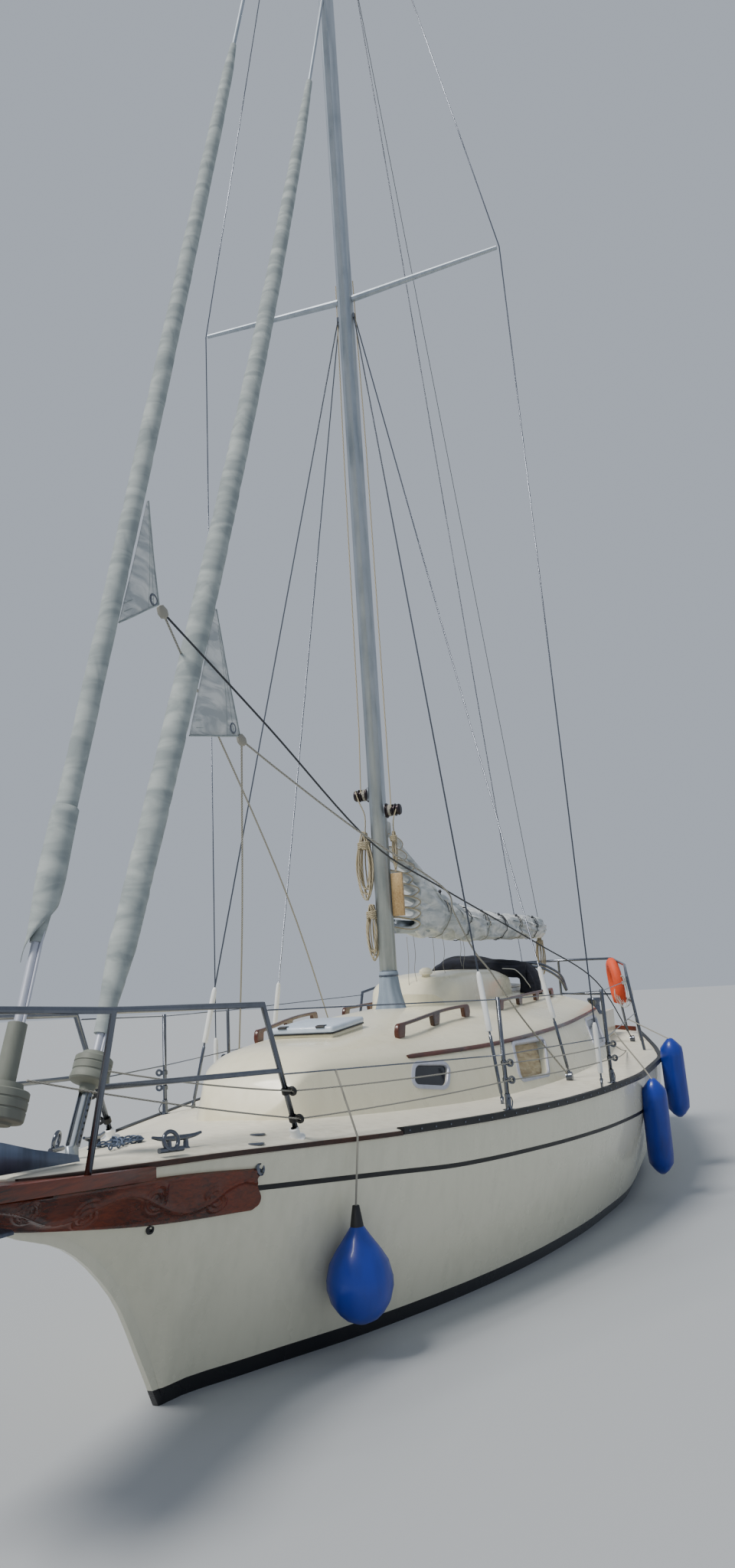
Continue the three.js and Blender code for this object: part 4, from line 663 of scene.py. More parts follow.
def sheer(x):
    """Half breadth and height of the deck's edge at a station."""
    return sheer_y_at(-x), sheer_z_at(-x)


def deck_z(x, y):
    """Height of the deck's top face."""
    edge, height = sheer(x)
    return height + DECK_CAMBER / 1000 * (1 - (y / edge) ** 2) * min(1, edge / 0.9)


print("hull rings:", len(hull_rings), "of", len(hull_rings[0]) * 2, "points")

# %% [markdown]
# ## Paint of the hull
#
# A hull carries three colours: gelcoat, a dark stripe at the waterline and antifouling below it.
# They could be three pieces, but one material that compares a point's height with two limits
# keeps the hull whole, and its bands stay level.

# %% Hull finish
def waterline_group():
    """Topside colour above, a boot stripe at the waterline and antifouling below it."""
    tree, given, made = new_group("waterline bands", {"Stripe Top": 0.07, "Stripe Foot": -0.02},
                                  colours=("Topside", "Stripe", "Bottom"), outputs=("Colour",))
    place = node(tree, "ShaderNodeTexCoord").outputs["Object"]
    height = node(tree, "ShaderNodeSeparateXYZ", {"Vector": place}).outputs["Z"]
    over = maths(tree, "GREATER_THAN", height, given["Stripe Top"])
    under = maths(tree, "GREATER_THAN", height, given["Stripe Foot"])
    low = blend_colours(tree, under, given["Bottom"], given["Stripe"])
    deliver(tree, made, blend_colours(tree, over, low, given["Topside"]))
    return tree


# The hull takes a greyer, darker copy of the cabin's cream gelcoat: the real cream with painted shade, because the
# hull's side lies in shade.
HULL_GELCOAT_SHADED = painted("hull gelcoat", "dfdcc6", "c3c2ac", 0.2, patches=0.35, bump=0.02, coat=0.4)
hull_tree = HULL_GELCOAT_SHADED.node_tree
bands = node(hull_tree, "ShaderNodeGroup", node_tree=waterline_group())
bands.inputs["Stripe"].default_value = tone("101116")
bands.inputs["Bottom"].default_value = tone("4a2220")
patchy = next(n for n in hull_tree.nodes if n.type == "GROUP" and n.node_tree == weathered)
hull_tree.links.new(patchy.outputs["Colour"], bands.inputs["Topside"])
hull_tree.links.new(bands.outputs["Colour"], hull_tree.nodes["Principled BSDF"].inputs["Base Color"])
print("hull finish nodes:", len(hull_tree.nodes))

# %% [markdown]
# ## Skin of the hull
#
# Each shape becomes an object that rides on a body and says which solids it stands for. The wells
# for cockpit, cabin and propeller could be modelled in, but a boolean cut by plain blocks leaves
# the smooth grid as it is everywhere else.

# %% Pieces and cuts
def mirror_y(points):
    """The same points on the other side of the boat."""
    return [Vector((p.x, -p.y, p.z)) for p in points]


def whole(half):
    """A closed ring from its port half, which runs from the middle of the top to the bottom."""
    return [*half, *reversed(mirror_y(half))]


def show(bm, name, material, body="yacht", stands_for=(), sharp=40, slot=None):
    """Makes a shaded piece of a bmesh, lets it ride on a body and says which solids it stands for."""
    mesh = bpy.data.meshes.new(name)
    bm.to_mesh(mesh)
    bm.free()
    mesh.materials.append(material)
    for face in mesh.polygons:
        face.use_smooth = True
    mesh.set_sharp_from_angle(angle=math.radians(sharp))
    piece = bpy.data.objects.new(name, mesh)
    bpy.context.collection.objects.link(piece)
    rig.ride(piece, body)
    if stands_for:
        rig.replaces(piece, *stands_for)
    if slot:
        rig.slot(piece, slot)
    return piece


# %% Cuts and blocks
def settle(piece):
    """Gives a piece the mesh that its modifiers make, and drops the modifiers."""
    graph = bpy.context.evaluated_depsgraph_get()
    mesh = bpy.data.meshes.new_from_object(piece.evaluated_get(graph))
    piece.modifiers.clear()
    piece.data = mesh
    return piece


def cut_away(piece, tools, sharp=40):
    """Cuts each tool's shape out of a piece."""
    for tool in tools:
        mesh = bpy.data.meshes.new("tool")
        tool.to_mesh(mesh)
        tool.free()
        cutter = bpy.data.objects.new("tool", mesh)
        bpy.context.collection.objects.link(cutter)
        step = piece.modifiers.new("cut", "BOOLEAN")
        step.operation = "DIFFERENCE"
        step.solver = "EXACT"
        step.object = cutter
        settle(piece)
        bpy.data.objects.remove(cutter)
    piece.data.set_sharp_from_angle(angle=math.radians(sharp))
    return piece


def block(low, high, rounding=0.0, segments=2):
    """A box between two corners, with rounded edges."""
    bm = bmesh.new()
    bmesh.ops.create_cube(bm, size=1)
    bmesh.ops.scale(bm, verts=bm.verts, vec=high - low)
    bmesh.ops.translate(bm, verts=bm.verts, vec=(low + high) / 2)
    if rounding:
        bmesh.ops.bevel(bm, geom=bm.edges, offset=rounding, segments=segments, affect="EDGES",
                        profile=0.5, material=-1)
    return bm


# %% Hull skin
COCKPIT_FORE, COCKPIT_AFT, SOLE_Z, SIDE_Y = -2600, -3950, 520, 900
CABIN_SOLE_Z = -150
WELLS = [
    (mm(-3500, -200, -778), mm(-2940, 200, -342)),
    (mm(-3560, -SIDE_Y - 40, SOLE_Z - 40), mm(COCKPIT_FORE + 30, SIDE_Y + 40, 1500)),
    (mm(COCKPIT_AFT - 40, -SIDE_Y - 40, 650), mm(-3540, SIDE_Y + 40, 1500)),
    (mm(-3760, -400, SOLE_Z - 40), mm(-3540, 400, 1500)),
    (mm(900, -360, 250), mm(1700, 360, 1500)),
    (mm(0, -600, CABIN_SOLE_Z), mm(900.5, 600, 1500)),
    (mm(-2480, -900, CABIN_SOLE_Z), mm(0.5, 900, 1500)),
]
hull_shape = solid([whole(ring) for ring in hull_rings])
hull_surface = BVHTree.FromBMesh(hull_shape)
hull = show(hull_shape, "hull_skin", HULL_GELCOAT_SHADED, stands_for=("hull",), sharp=50, slot="gelcoat")
cut_away(hull, [block(low, high) for low, high in WELLS], sharp=50)
print("hull faces:", len(hull.data.polygons))

# %% [markdown]
# ## Deck and rails
#
# The deck is a cambered moulding that overhangs the hull by a finger's width, so its edge takes
# the knocks. It is one closed skin with two openings cut in it: one under the cabin, one for the
# cockpit. The rail on its edge is varnished wood at the bow and a black extrusion from there aft.

# %% Rounded lines
def bend(before, corner, after, reach, steps):
    """Points round a corner, from a reach before it to the same reach after it."""
    start = corner + (before - corner).normalized() * reach
    end = corner + (after - corner).normalized() * reach
    shares = [step / steps for step in range(steps + 1)]
    return [start * (1 - t) ** 2 + corner * 2 * t * (1 - t) + end * t * t for t in shares]


def rounded(line, radius, steps=4):
    """A line of points with its corners rounded."""
    made = [line[0]]
    for before, corner, after in zip(line, line[1:], line[2:]):
        reach = min(radius, (before - corner).length * 0.45, (after - corner).length * 0.45)
        made += bend(before, corner, after, reach, steps)
    return [*made, line[-1]]


# %% Sections along a table
def rings_through(rows, section, parts, **more):
    """A section for each row of a table, whose first number is a station, and rings in between."""
    return more_rings([section(*row, **more) for row in rows], [-row[0] / 1000 for row in rows], parts)


# %% Deck skin
DECK_LIP = 4
CABIN_AFT, CABIN_WALL = -2550, 35
# Columns in millimetres: station, half breadth at the deck, at the roof's edge, height of the edge
# and of the crown. The last one is the fullness of the roof, the power of its curve.
CABIN = [
    (2205, 110, 95, 1008, 1012, 2.0), (2165, 250, 215, 1075, 1090, 2.4), (2110, 310, 262, 1150, 1180, 2.8),
    (2030, 360, 300, 1205, 1255, 3.0), (1920, 428, 350, 1222, 1303, 3.2), (1800, 495, 405, 1222, 1322, 3.4),
    (1600, 590, 490, 1215, 1330, 3.2), (1350, 690, 590, 1206, 1342, 2.8), (1000, 830, 710, 1205, 1366, 2.1),
    (330, 1010, 875, 1212, 1418, 2.0), (-420, 1110, 950, 1220, 1430, 2.0),
    (-1300, 1150, 985, 1238, 1440, 2.0), (-2000, 1140, 980, 1256, 1448, 2.0),
    (-2550, 1100, 960, 1272, 1452, 2.0),
]


def deck_half(x, edge_y, edge_z):
    """The port half of the deck's section: crowned top, rounded edge, flat under side."""
    lip = edge_y + DECK_LIP
    crown = DECK_CAMBER * min(1, edge_y / 900)
    top = [mm(x, lip * i / 8, edge_z + crown * (1 - (i / 8) ** 2)) for i in range(8)]
    edge = rounded([top[-1], mm(x, lip, edge_z), mm(x, lip, edge_z - DECK_THICK)], 9, 3)
    low = edge_z - DECK_THICK - 2
    under = [mm(x, lip * 0.5, low + crown * 0.75), mm(x, 0, low + crown)]
    return [*top[:-1], *edge, *under]


deck_rings = rings_through(edge_rows, deck_half, 4)
deck = show(solid([whole(ring) for ring in deck_rings]), "deck_skin", DECK,
            stands_for=("deck",), sharp=50, slot="deck_paint")


def footprint(x, half_y):
    """A ring of the cutter that opens the deck under the cabin."""
    return whole([mm(x, 0, 1500), mm(x, half_y, 1500), mm(x, half_y, 600), mm(x, 0, 600)])


cabin_hole = [footprint(max(row[0], CABIN_AFT + CABIN_WALL + 6), row[1] - CABIN_WALL - 6)
              for row in CABIN if row[0] < 2100]
cockpit_hole = block(mm(COCKPIT_AFT - 1, -SIDE_Y - 1, 400), mm(COCKPIT_FORE - 20, SIDE_Y + 1, 1600))
cut_away(deck, [solid(cabin_hole), cockpit_hole], sharp=50)
print("deck faces:", len(deck.data.polygons))

# %% Copies of solids
def copy_of(name):
    """A merged copy of a CAD solid's mesh. The solid itself stays as it is."""
    bm = bmesh.new()
    bm.from_mesh(frame["nodes"][name].data)
    bmesh.ops.remove_doubles(bm, verts=bm.verts, dist=1e-5)
    return bm


def softened(name, material, body="yacht", rounding=0.004, segments=2, least=25):
    """Stands a copy with rounded edges in for a box-like solid."""
    bm = copy_of(name)
    bmesh.ops.dissolve_limit(bm, angle_limit=math.radians(1), verts=bm.verts, edges=bm.edges)
    edges = [edge for edge in bm.edges if edge.is_manifold
             and edge.calc_face_angle(0) > math.radians(least)]
    bmesh.ops.bevel(bm, geom=edges, offset=rounding, segments=segments, affect="EDGES", profile=0.5,
                    material=-1, clamp_overlap=True)
    return show(bm, name + "_skin", material, body, (name,))


# %% Rails along the deck's edge
SIDES = (("port", 1), ("stbd", -1))
RAIL_OUT = 18


def edge_rail(kind, word, side, material, x_fore, x_aft, inner, low, high):
    """A rail with rounded corners that caps the deck's edge and follows the sheer."""
    outer = RAIL_OUT
    count = max(8, round((x_fore - x_aft) / 90))
    rings = []
    for i in range(count + 1):
        x = (x_fore + (x_aft - x_fore) * i / count) / 1000
        y, z = sheer(x)
        corners = ((-inner, low), (outer, low), (outer, high), (-inner, high), (-inner, low))
        line = [Vector((x, y + across / 1000, z + rise / 1000)) for across, rise in corners]
        ring = rounded(line, 0.005, 3)[:-1]
        rings.append(ring if side > 0 else mirror_y(ring))
    show(solid(rings), f"{kind}_rail_{word}", material, stands_for=(f"toe_rail_{kind}_{word}",), sharp=60)


for word, side in SIDES:
    edge_rail("wood", word, side, DARK_TEAK, 3985, 2103, 0, -26, -5)
    edge_rail("black", word, side, BLACK_RAIL, 2095, -4230, 20, -24, 11)
softened("taffrail", TEAK, rounding=0.006)
print("rails on the deck's edge:", 2 * len(SIDES))

# %% [markdown]
# ## Bolts and the line under the rail
#
# Bolts hold the rail about every hand's breadth, and a dark line runs along the hull under it. A
# bolt head is a profile that is spun round its axis, and the same helper makes every other round
# fitting. The line is a thin band, laid on the hull by rays that are cast at its side.

# %% Turned shapes, and places on a side
def turned(profile, foot=Vector(), way=Vector((0, 0, 1)), steps=20):
    """A profile of radius and height, spun round its axis and stood on a foot along a way."""
    bm = bmesh.new()
    line = [bm.verts.new((radius, 0, height)) for radius, height in profile]
    edges = [bm.edges.new(pair) for pair in zip(line, line[1:])]
    bmesh.ops.spin(bm, geom=[*line, *edges], cent=(0, 0, 0), axis=(0, 0, 1), angle=2 * math.pi,
                   steps=steps, use_merge=True, use_duplicate=False)
    bmesh.ops.remove_doubles(bm, verts=bm.verts, dist=1e-6)
    bmesh.ops.recalc_face_normals(bm, faces=bm.faces)
    bmesh.ops.transform(bm, matrix=way.to_track_quat("Z", "Y").to_matrix().to_4x4(), verts=bm.verts)
    bmesh.ops.translate(bm, verts=bm.verts, vec=foot)
    return bm


def joined(shapes):
    """Several shapes as one."""
    group = bmesh.new()
    for shape in shapes:
        mesh = bpy.data.meshes.new("part")
        shape.to_mesh(mesh)
        shape.free()
        group.from_mesh(mesh)
        bpy.data.meshes.remove(mesh)
    return group


def beside(surface, x, z, side=1, proud=0.0):
    """The point on the side of a surface at a station and height in millimetres, stood proud of it.

    Where the surface ends, the point lies beside the boat's middle plane."""
    spot, way, _, _ = surface.ray_cast(mm(x, 4000 * side, z), Vector((0, -side, 0)))
    if spot is None:
        return mm(x, (12 + proud) * side, z)
    return spot + way * (proud / 1000)


# %% Bolts and the line under the rail
COVE_DROPS = [(-2866, 172), (-2166, 191), (-1639, 214), (-975, 220), (819, 250), (4120, 255)]
COVE_HALF = 11
COVE_SECTION = ((-COVE_HALF, -1), (-COVE_HALF, 1.2), (COVE_HALF, 1.2), (COVE_HALF, -1))
BOLT_HEAD = [(0.006, 0), (0.0055, 0.003), (0.003, 0.0048), (0, 0.0052)]
BOLT_X = [2060, 1980, *range(1880, -4170, -110)]
cove_drop = monotone(*zip(*COVE_DROPS))
for word, side in SIDES:
    rings = []
    for i in range(101):
        x = 2866 - 6986 * i / 100
        z = sheer(x / 1000)[1] * 1000 - cove_drop(-x)
        rings.append([beside(hull_surface, x, z + rise, side, proud) for rise, proud in COVE_SECTION])
    show(solid(rings), f"cove_line_{word}", BLACK_RAIL)
    heads = []
    for x in BOLT_X:
        y, z = sheer(x / 1000)
        foot = Vector((x / 1000, (y + RAIL_OUT / 1000 - 0.001) * side, z - 0.0065))
        heads.append(turned(BOLT_HEAD, foot, Vector((0, side, 0)), 8))
    show(joined(heads), f"rail_bolts_{word}", STEEL)
print("bolts a side:", len(BOLT_X))

# %% [markdown]
# ## Carved boards at the bow
#
# Two varnished boards lie on the bow under the rail, each carved with a vine that winds between
# scrolls. Sculpting by hand could do it, but the carving is a few plain curves, so a fine grid is
# laid on the hull's side and each point is raised by its distance from the vine and the scrolls.

# %% Carved boards
BOARD = [(4060, 925, 1010), (3940, 895, 1000), (3610, 825, 970), (3310, 772, 948), (3100, 748, 926),
         (2800, 724, 888)]
BOARD_THICK, BOARD_WAVES = 22, 2.15
SCROLLS = [(0.135, 0.60, 0.30, 1), (0.365, 0.38, 0.34, -1), (0.6, 0.60, 0.32, 1), (0.83, 0.42, 0.30, -1)]
board_low, board_high = follow(BOARD, 1, 1), follow(BOARD, 2, 1)


def ridge(distance, width):
    """A smooth bump: 1 at no distance, and next to nothing beyond twice its width."""
    return math.exp(-(distance / width) ** 2)


def board_end(v):
    """The station of the board's aft end at a share of its height: a hollow over a round."""
    return 2806 + 62 * v ** 1.5 - 26 * ridge(v - 0.92, 0.1) - 20 * ridge(v - 0.3, 0.25) + 26 * ridge(v, 0.07)


def carving(u, v):
    """Height of the carving, in millimetres, at shares of the board's length and height."""
    vine = 0.5 + 0.27 * math.sin(2 * math.pi * (u * BOARD_WAVES + 0.2))
    lean = 1 + abs(math.cos(2 * math.pi * (u * BOARD_WAVES + 0.2))) * 0.9
    high = 8.5 * ridge((v - vine) / lean, 0.035) + 3.0 * ridge((v - vine) / lean, 0.09)
    for centre_u, centre_v, size, turning in SCROLLS:
        du, dv = (u - centre_u) * 7.3, v - centre_v
        far = math.hypot(du, dv)
        if far < size * 1.25:
            turn = (math.atan2(dv, du) * turning / (2 * math.pi)) % 1
            near = min(abs(far - size * (turn + whorl) / 2.4) for whorl in (0, 1, 2))
            high = max(high, 9.0 * ridge(near, 0.04) * min(1, (size * 1.25 - far) * 12))
    leaf = math.sin(2 * math.pi * (u * 17 + v * 1.3)) * math.sin(math.pi * v)
    high += 1.3 * max(0, leaf) * ridge((v - vine) / lean - 0.12, 0.09)
    rim = min(v, 1 - v) * 170 / 9
    return high * min(1, rim / 1.6) + (3.5 if v < 0.055 else 0) + (2.0 if v > 0.96 else 0)


# %% Boards on the bow
def board_ring(u, raised, side):
    """One ring of the board across its height, front and back."""
    front, back = [], []
    for k in range(33):
        v = k / 32
        x = 4060 + (board_end(v) - 4060) * u
        z = board_low(-x) + (board_high(-x) - board_low(-x)) * v
        rounding = 5 * (1 - math.sqrt(max(0.0, 1 - max(0.0, 1 - min(v, 1 - v) * 14) ** 2)))
        lift = BOARD_THICK - 4 - rounding + carving(u, v) if raised else 3
        front.append(beside(hull_surface, x, z, side, lift))
        back.append(beside(hull_surface, x, z, side, 0.5))
    return [*front, *reversed(back)]


for word, side in SIDES:
    rings = [board_ring(0, False, side), *[board_ring(i / 260, True, side) for i in range(261)],
             board_ring(1, False, side)]
    show(solid(rings), f"carved_board_{word}", TEAK,
         stands_for=(f"trailboard_{word}",), sharp=50)
print("board:", len(rings), "rings of", len(rings[0]), "points")

# %% [markdown]
# ## Cabin
#
# The cabin trunk is one moulding with the deck: sides that lean in, a crowned roof and a corner
# between them that is rounded by about the width of a hand. It is built as the hull was, from
# stations, and its room, windows, hatchway and doorway are cut out of it.

# %% Plates
def plate(outline, way, rounding=0.0, segments=4):
    """A flat outline with rounded corners, pushed out along a way into a solid."""
    bm = bmesh.new()
    corners = [bm.verts.new(point) for point in outline]
    bm.faces.new(corners)
    if rounding:
        bmesh.ops.bevel(bm, geom=corners, offset=rounding, segments=segments, affect="VERTICES",
                        profile=0.5, material=-1)
    pushed = bmesh.ops.extrude_face_region(bm, geom=bm.faces[:])
    moved = [part for part in pushed["geom"] if isinstance(part, bmesh.types.BMVert)]
    bmesh.ops.translate(bm, verts=moved, vec=way)
    bmesh.ops.recalc_face_normals(bm, faces=bm.faces)
    return bm


# %% Cabin skin
CORNER = 0.13


def cabin_half(x, base_y, edge_y, edge_z, crown_z, full, inset=0, sink=0):
    """The port half of a section, from the crown down to the cabin's foot."""
    foot_z = deck_z(x / 1000, base_y / 1000) * 1000 - 12
    rise = crown_z - edge_z
    roof = [mm(x, (edge_y - inset) * share, edge_z + rise * (1 - share ** full) - inset)
            for share in (0, 0.2, 0.4, 0.55, 0.7, 0.82)]
    corner = mm(x, edge_y - inset * 1.1, edge_z - inset)
    foot = mm(x, base_y - inset, foot_z)
    half = rounded([*roof, corner, foot], CORNER, 5)
    if sink:
        half.append(foot - mm(0, 0, sink))
    return [*half, mm(x, 0, foot_z - sink - 0.5)]


cabin_rings = rings_through(CABIN, cabin_half, 5)
cabin_shape = solid([whole(ring) for ring in cabin_rings])
cabin_surface = BVHTree.FromBMesh(cabin_shape)
cabin = show(cabin_shape, "cabin_skin", GELCOAT, stands_for=("cabin_trunk",), sharp=50, slot="gelcoat")
room_rows = [row for row in CABIN if CABIN_AFT + 10 < row[0] < 2100]
room_rows.append((CABIN_AFT + CABIN_WALL, *CABIN[-1][1:]))
room_rings = rings_through(room_rows, cabin_half, 5, inset=CABIN_WALL, sink=200)

# %% Openings of the cabin
WINDOWS = {
    "fore": [(1062, 1128), (1325, 1158), (1392, 1060), (1152, 1020)],
    "main": [(-330, 1150), (245, 1165), (372, 965), (-80, 950)],
    "aft": [(-2280, 1180), (-1750, 1176), (-1600, 985), (-2130, 985)],
}
HATCH_AFT, HATCH_FORE, HATCH_HALF = 985, 1467, 195
COMPANION_FORE, COMPANION_HALF = -1980, 320

tools = [solid([whole(ring) for ring in room_rings])]
for outline in WINDOWS.values():
    for side in (1, -1):
        tools.append(plate([mm(x, 400 * side, z) for x, z in outline], mm(0, 1000 * side, 0), 0.035))
tools.append(block(mm(HATCH_AFT + 60, 60 - HATCH_HALF, 1100), mm(HATCH_FORE - 60, HATCH_HALF - 60, 1600)))
tools.append(block(mm(CABIN_AFT + 60, 40 - COMPANION_HALF, 1200),
                   mm(COMPANION_FORE, COMPANION_HALF - 40, 1700)))
tools.append(block(mm(CABIN_AFT - 60, 40 - COMPANION_HALF, 990),
                   mm(CABIN_AFT + 61, COMPANION_HALF - 40, 1700)))
cut_away(cabin, tools, sharp=45)
cabin_edge_y, cabin_edge_z, cabin_roof = (follow(CABIN, column) for column in (2, 3, 4))
cabin_full = monotone([-row[0] / 1000 for row in CABIN], [row[5] for row in CABIN])


def roof_z(x, y):
    """Height of the coachroof."""
    rise = cabin_roof(-x) - cabin_edge_z(-x)
    return cabin_edge_z(-x) + rise * (1 - min(1, abs(y / cabin_edge_y(-x)) ** cabin_full(-x)))


print("cabin faces:", len(cabin.data.polygons))

# %% [markdown]
# ## Windows
#
# Each window is a cast frame screwed over a hole, with a pane set back in it. The frame's section
# is swept round the window's outline, and every point is laid on the cabin's curved side, so the
# frame follows it. Plane frames would stand off the side at one end. Curtains hang in the cabin.

# %% Rounded outlines
def loop_through(corners, radius, steps=4):
    """A closed outline of corners, two numbers each, with the corners rounded."""
    made = []
    flat = [Vector(corner) for corner in corners]
    for before, corner, after in zip([flat[-1], *flat], flat, [*flat[1:], flat[0]]):
        made += bend(before, corner, after, radius, steps)
    return made


def widened(outline, by):
    """An outline with every side moved outward by a distance."""
    made = []
    middle = sum(outline, Vector((0, 0))) / len(outline)
    for before, point, after in zip([outline[-1], *outline], outline, [*outline[1:], outline[0]]):
        way = (after - before).normalized()
        out = Vector((way.y, -way.x))
        if out.dot(point - middle) < 0:
            out = -out
        made.append(point + out * by)
    return made


# %% Windows
FLANGE = 21
FRAME_SECTION = [(-2, -24), (-2, 3), (1, 8), (FLANGE - 7, 7), (FLANGE, 4), (FLANGE, -3)]
SCREW_HEAD = [(0.0045, 0), (0.004, 0.0012), (0.0015, 0.0017), (0.001, 0.0009), (0, 0.0009)]


def pane(outline, side, proud, thick):
    """A pane inside an outline, laid to the curve of the cabin's side."""
    middle = sum(outline, Vector((0, 0))) / len(outline)
    shares = (0.03, 0.35, 0.7, 1)
    path = [*((share, 0) for share in shares), *((share, thick) for share in reversed(shares))]
    rings = [[beside(cabin_surface, *middle.lerp(point, share), side, proud - depth) for point in outline]
             for share, depth in path]
    return solid(rings)


def screws_round(outline, surface, side, every):
    """Small screw heads along an outline on a surface."""
    heads = []
    for point in outline[::every]:
        low, high = (beside(surface, *point, side, proud) for proud in (6.6, 9))
        heads.append(turned(SCREW_HEAD, low, high - low, 8))
    return heads


for word, side in SIDES:
    for place, corners in WINDOWS.items():
        opening = loop_through(corners, 42, 6)
        rings = [[beside(cabin_surface, *point, side, proud) for point in widened(opening, by)]
                 for by, proud in FRAME_SECTION]
        parts = [skin([*rings, rings[0]], closed=True)]
        parts += screws_round(widened(opening, FLANGE / 2), cabin_surface, side, 5)
        show(joined(parts), f"window_frame_{place}_{word}", FRAME_ALLOY)
        glass = CLEAR_GLASS if place == "main" else DARK_GLASS
        show(pane(widened(opening, 1.5), side, -8, 5), f"window_pane_{place}_{word}", glass)
print("window frames:", 2 * len(WINDOWS))

# %% Curtains
for word, side in SIDES:
    rings = []
    for i in range(121):
        x = 420 - 800 * i / 120
        fold = 7 * math.sin(i * 0.62) + 3 * math.sin(i * 0.23 + 1)
        rings.append([beside(cabin_surface, x, z, side, -48 + fold * (0.5 + 0.5 * k / 8))
                      for k, z in enumerate(range(1178, 930, -30))])
    curtain = show(skin(rings), f"curtain_{word}", CURTAIN)
    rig.sheet(curtain, flat=(1.05, 0.26), held="hung", rests_on=["cabin_trunk"])
print("curtain folds:", len(rings), "columns")

# %% [markdown]
# ## Strip along the cabin's side
#
# A varnished strip of teak runs along the cabin. It could be a curve with a bevel, but a section
# whose points are cast onto the cabin's side follows that side where it bends.

# %% Strip of teak along the side
STRIP = [(-1344, 1202), (-534, 1191), (615, 1195), (2500, 1234)]
STRIP_SECTION = ((-1, -2), (-1, 7), (-0.6, 10), (0.6, 10), (1, 7), (1, -2))
strip_z = monotone(*zip(*STRIP))
for word, side in SIDES:
    rings = []
    for i in range(91):
        x = 1344 - 3844 * i / 90
        half = 10 if 0 < i < 90 else 7
        rings.append([beside(cabin_surface, x, strip_z(-x) + rise * half, side, proud)
                      for rise, proud in STRIP_SECTION])
    show(solid(rings), f"cabin_strip_{word}", RAIL_TEAK)
print("strip rings:", len(rings))

# %% [markdown]
# ## Hood, hatches and washboards
#
# The sliding hatch runs forward under a fixed hood, and boards close the doorway. The hood has
# crowned sections like the cabin, so it is made in the same way. The hatches and the boards are
# flat slabs, where a copy of the solid with rounded edges is enough.

# %% Hood, hatches and boards of the companionway
SEA_HOOD = [(-375, 270, 1500), (-560, 335, 1618), (-1100, 352, 1652), (-1700, 356, 1648),
            (-2010, 352, 1612)]
HOOD_FOOT = 1388


def hood_half(x, half_y, top_z, inset=0):
    """The port half of the hood's section."""
    line = [mm(x, 0, top_z - inset), mm(x, (half_y - inset) * 0.75, top_z - 12 - inset),
            mm(x, half_y - inset, top_z - 55 - inset), mm(x, half_y + 14 - inset, HOOD_FOOT)]
    return [*rounded(line, 0.05, 4), mm(x, 0, HOOD_FOOT)]


hood_rings = rings_through(SEA_HOOD, hood_half, 5)
hood = show(solid([whole(ring) for ring in hood_rings]), "sea_hood_skin",
            GELCOAT, stands_for=("sea_hood",), sharp=45)
hollow = [(-1300, 353, 1650), SEA_HOOD[3], (-2012, 352, 1612)]
cut_away(hood, [solid([whole(hood_half(*row, inset=25)) for row in hollow])], sharp=45)
for word, side in SIDES:
    inner, outer = sorted((292 * side, 318 * side))
    show(block(mm(-2540, inner, 1395), mm(-1330, outer, 1462), 0.004), f"hatch_runner_{word}", GELCOAT)
softened("sliding_hatch", GELCOAT, "companion_hatch", rounding=0.008, segments=3)
softened("washboards", TEAK)
softened("fore_hatch_frame", GELCOAT, rounding=0.012, segments=3)
softened("fore_hatch_lid", LID_SKY_SHADE, "fore_hatch", rounding=0.016, segments=4)
print("hood faces:", len(hood.data.polygons))

# %% [markdown]
# ## Trim of the fore hatch
#
# The lid of the fore hatch closes on a rubber gasket and turns on two hinges, and a small vent
# stands on the hood. A hinge pin, like every rope after it, is a ring of points that is swept
# along a line. A curve object could do that, but here the UV map comes out in metres.

# %% Round bars
def length_of(line):
    """The length of a line of points."""
    return sum((b - a).length for a, b in zip(line, line[1:]))


def tube(line, radius, sides=8):
    """A round bar along a line. A list of radii makes it swell. Its UV map is in metres and turns."""
    radii = radius if isinstance(radius, list) else [radius] * len(line)
    ways = [(b - a).normalized() for a, b in zip(line, line[1:])]
    ways.append(ways[-1])
    side = ways[0].orthogonal().normalized()
    rings = []
    for i, (point, size) in enumerate(zip(line, radii)):
        way = (ways[max(0, i - 1)] + ways[i]).normalized()
        side = (side - way * side.dot(way)).normalized()
        across = way.cross(side)
        rings.append([point + (side * math.cos(2 * math.pi * k / sides)
                               + across * math.sin(2 * math.pi * k / sides)) * size for k in range(sides)])
    bm = solid(rings)
    uv = bm.loops.layers.uv.active
    total = length_of(line)
    for face in bm.faces:
        for loop in face.loops:
            loop[uv].uv.x *= total
    return bm


# %% Trim of the fore hatch, and the vent on the hood
def lid_z(x):
    """Height of the lid's under side at a station, in millimetres."""
    return 1378 + (1352 - 1378) * (x - HATCH_AFT) / (HATCH_FORE - HATCH_AFT)


outline = loop_through([(HATCH_AFT, -HATCH_HALF), (HATCH_FORE, -HATCH_HALF), (HATCH_FORE, HATCH_HALF),
                        (HATCH_AFT, HATCH_HALF)], 24)
rings = [[mm(x, y, lid_z(x) + rise) for x, y in widened(outline, by)]
         for by, rise in ((0.6, -1), (2.6, 0), (2.6, 7), (0.6, 8), (-4, 8), (-4, -1))]
show(skin([*rings, rings[0]], closed=True), "hatch_gasket", BLACK_PLASTIC, "fore_hatch")
hinges = []
hinge_z = lid_z(HATCH_FORE) + 38
for y in (-118, 118):
    flap = block(mm(HATCH_FORE - 46, y - 24, hinge_z), mm(HATCH_FORE - 2, y + 24, hinge_z + 12), 0.003)
    pin = tube([mm(HATCH_FORE + 1, y + end, hinge_z + 3) for end in (-26, 26)], 0.006, 10)
    hinges += [flap, pin]
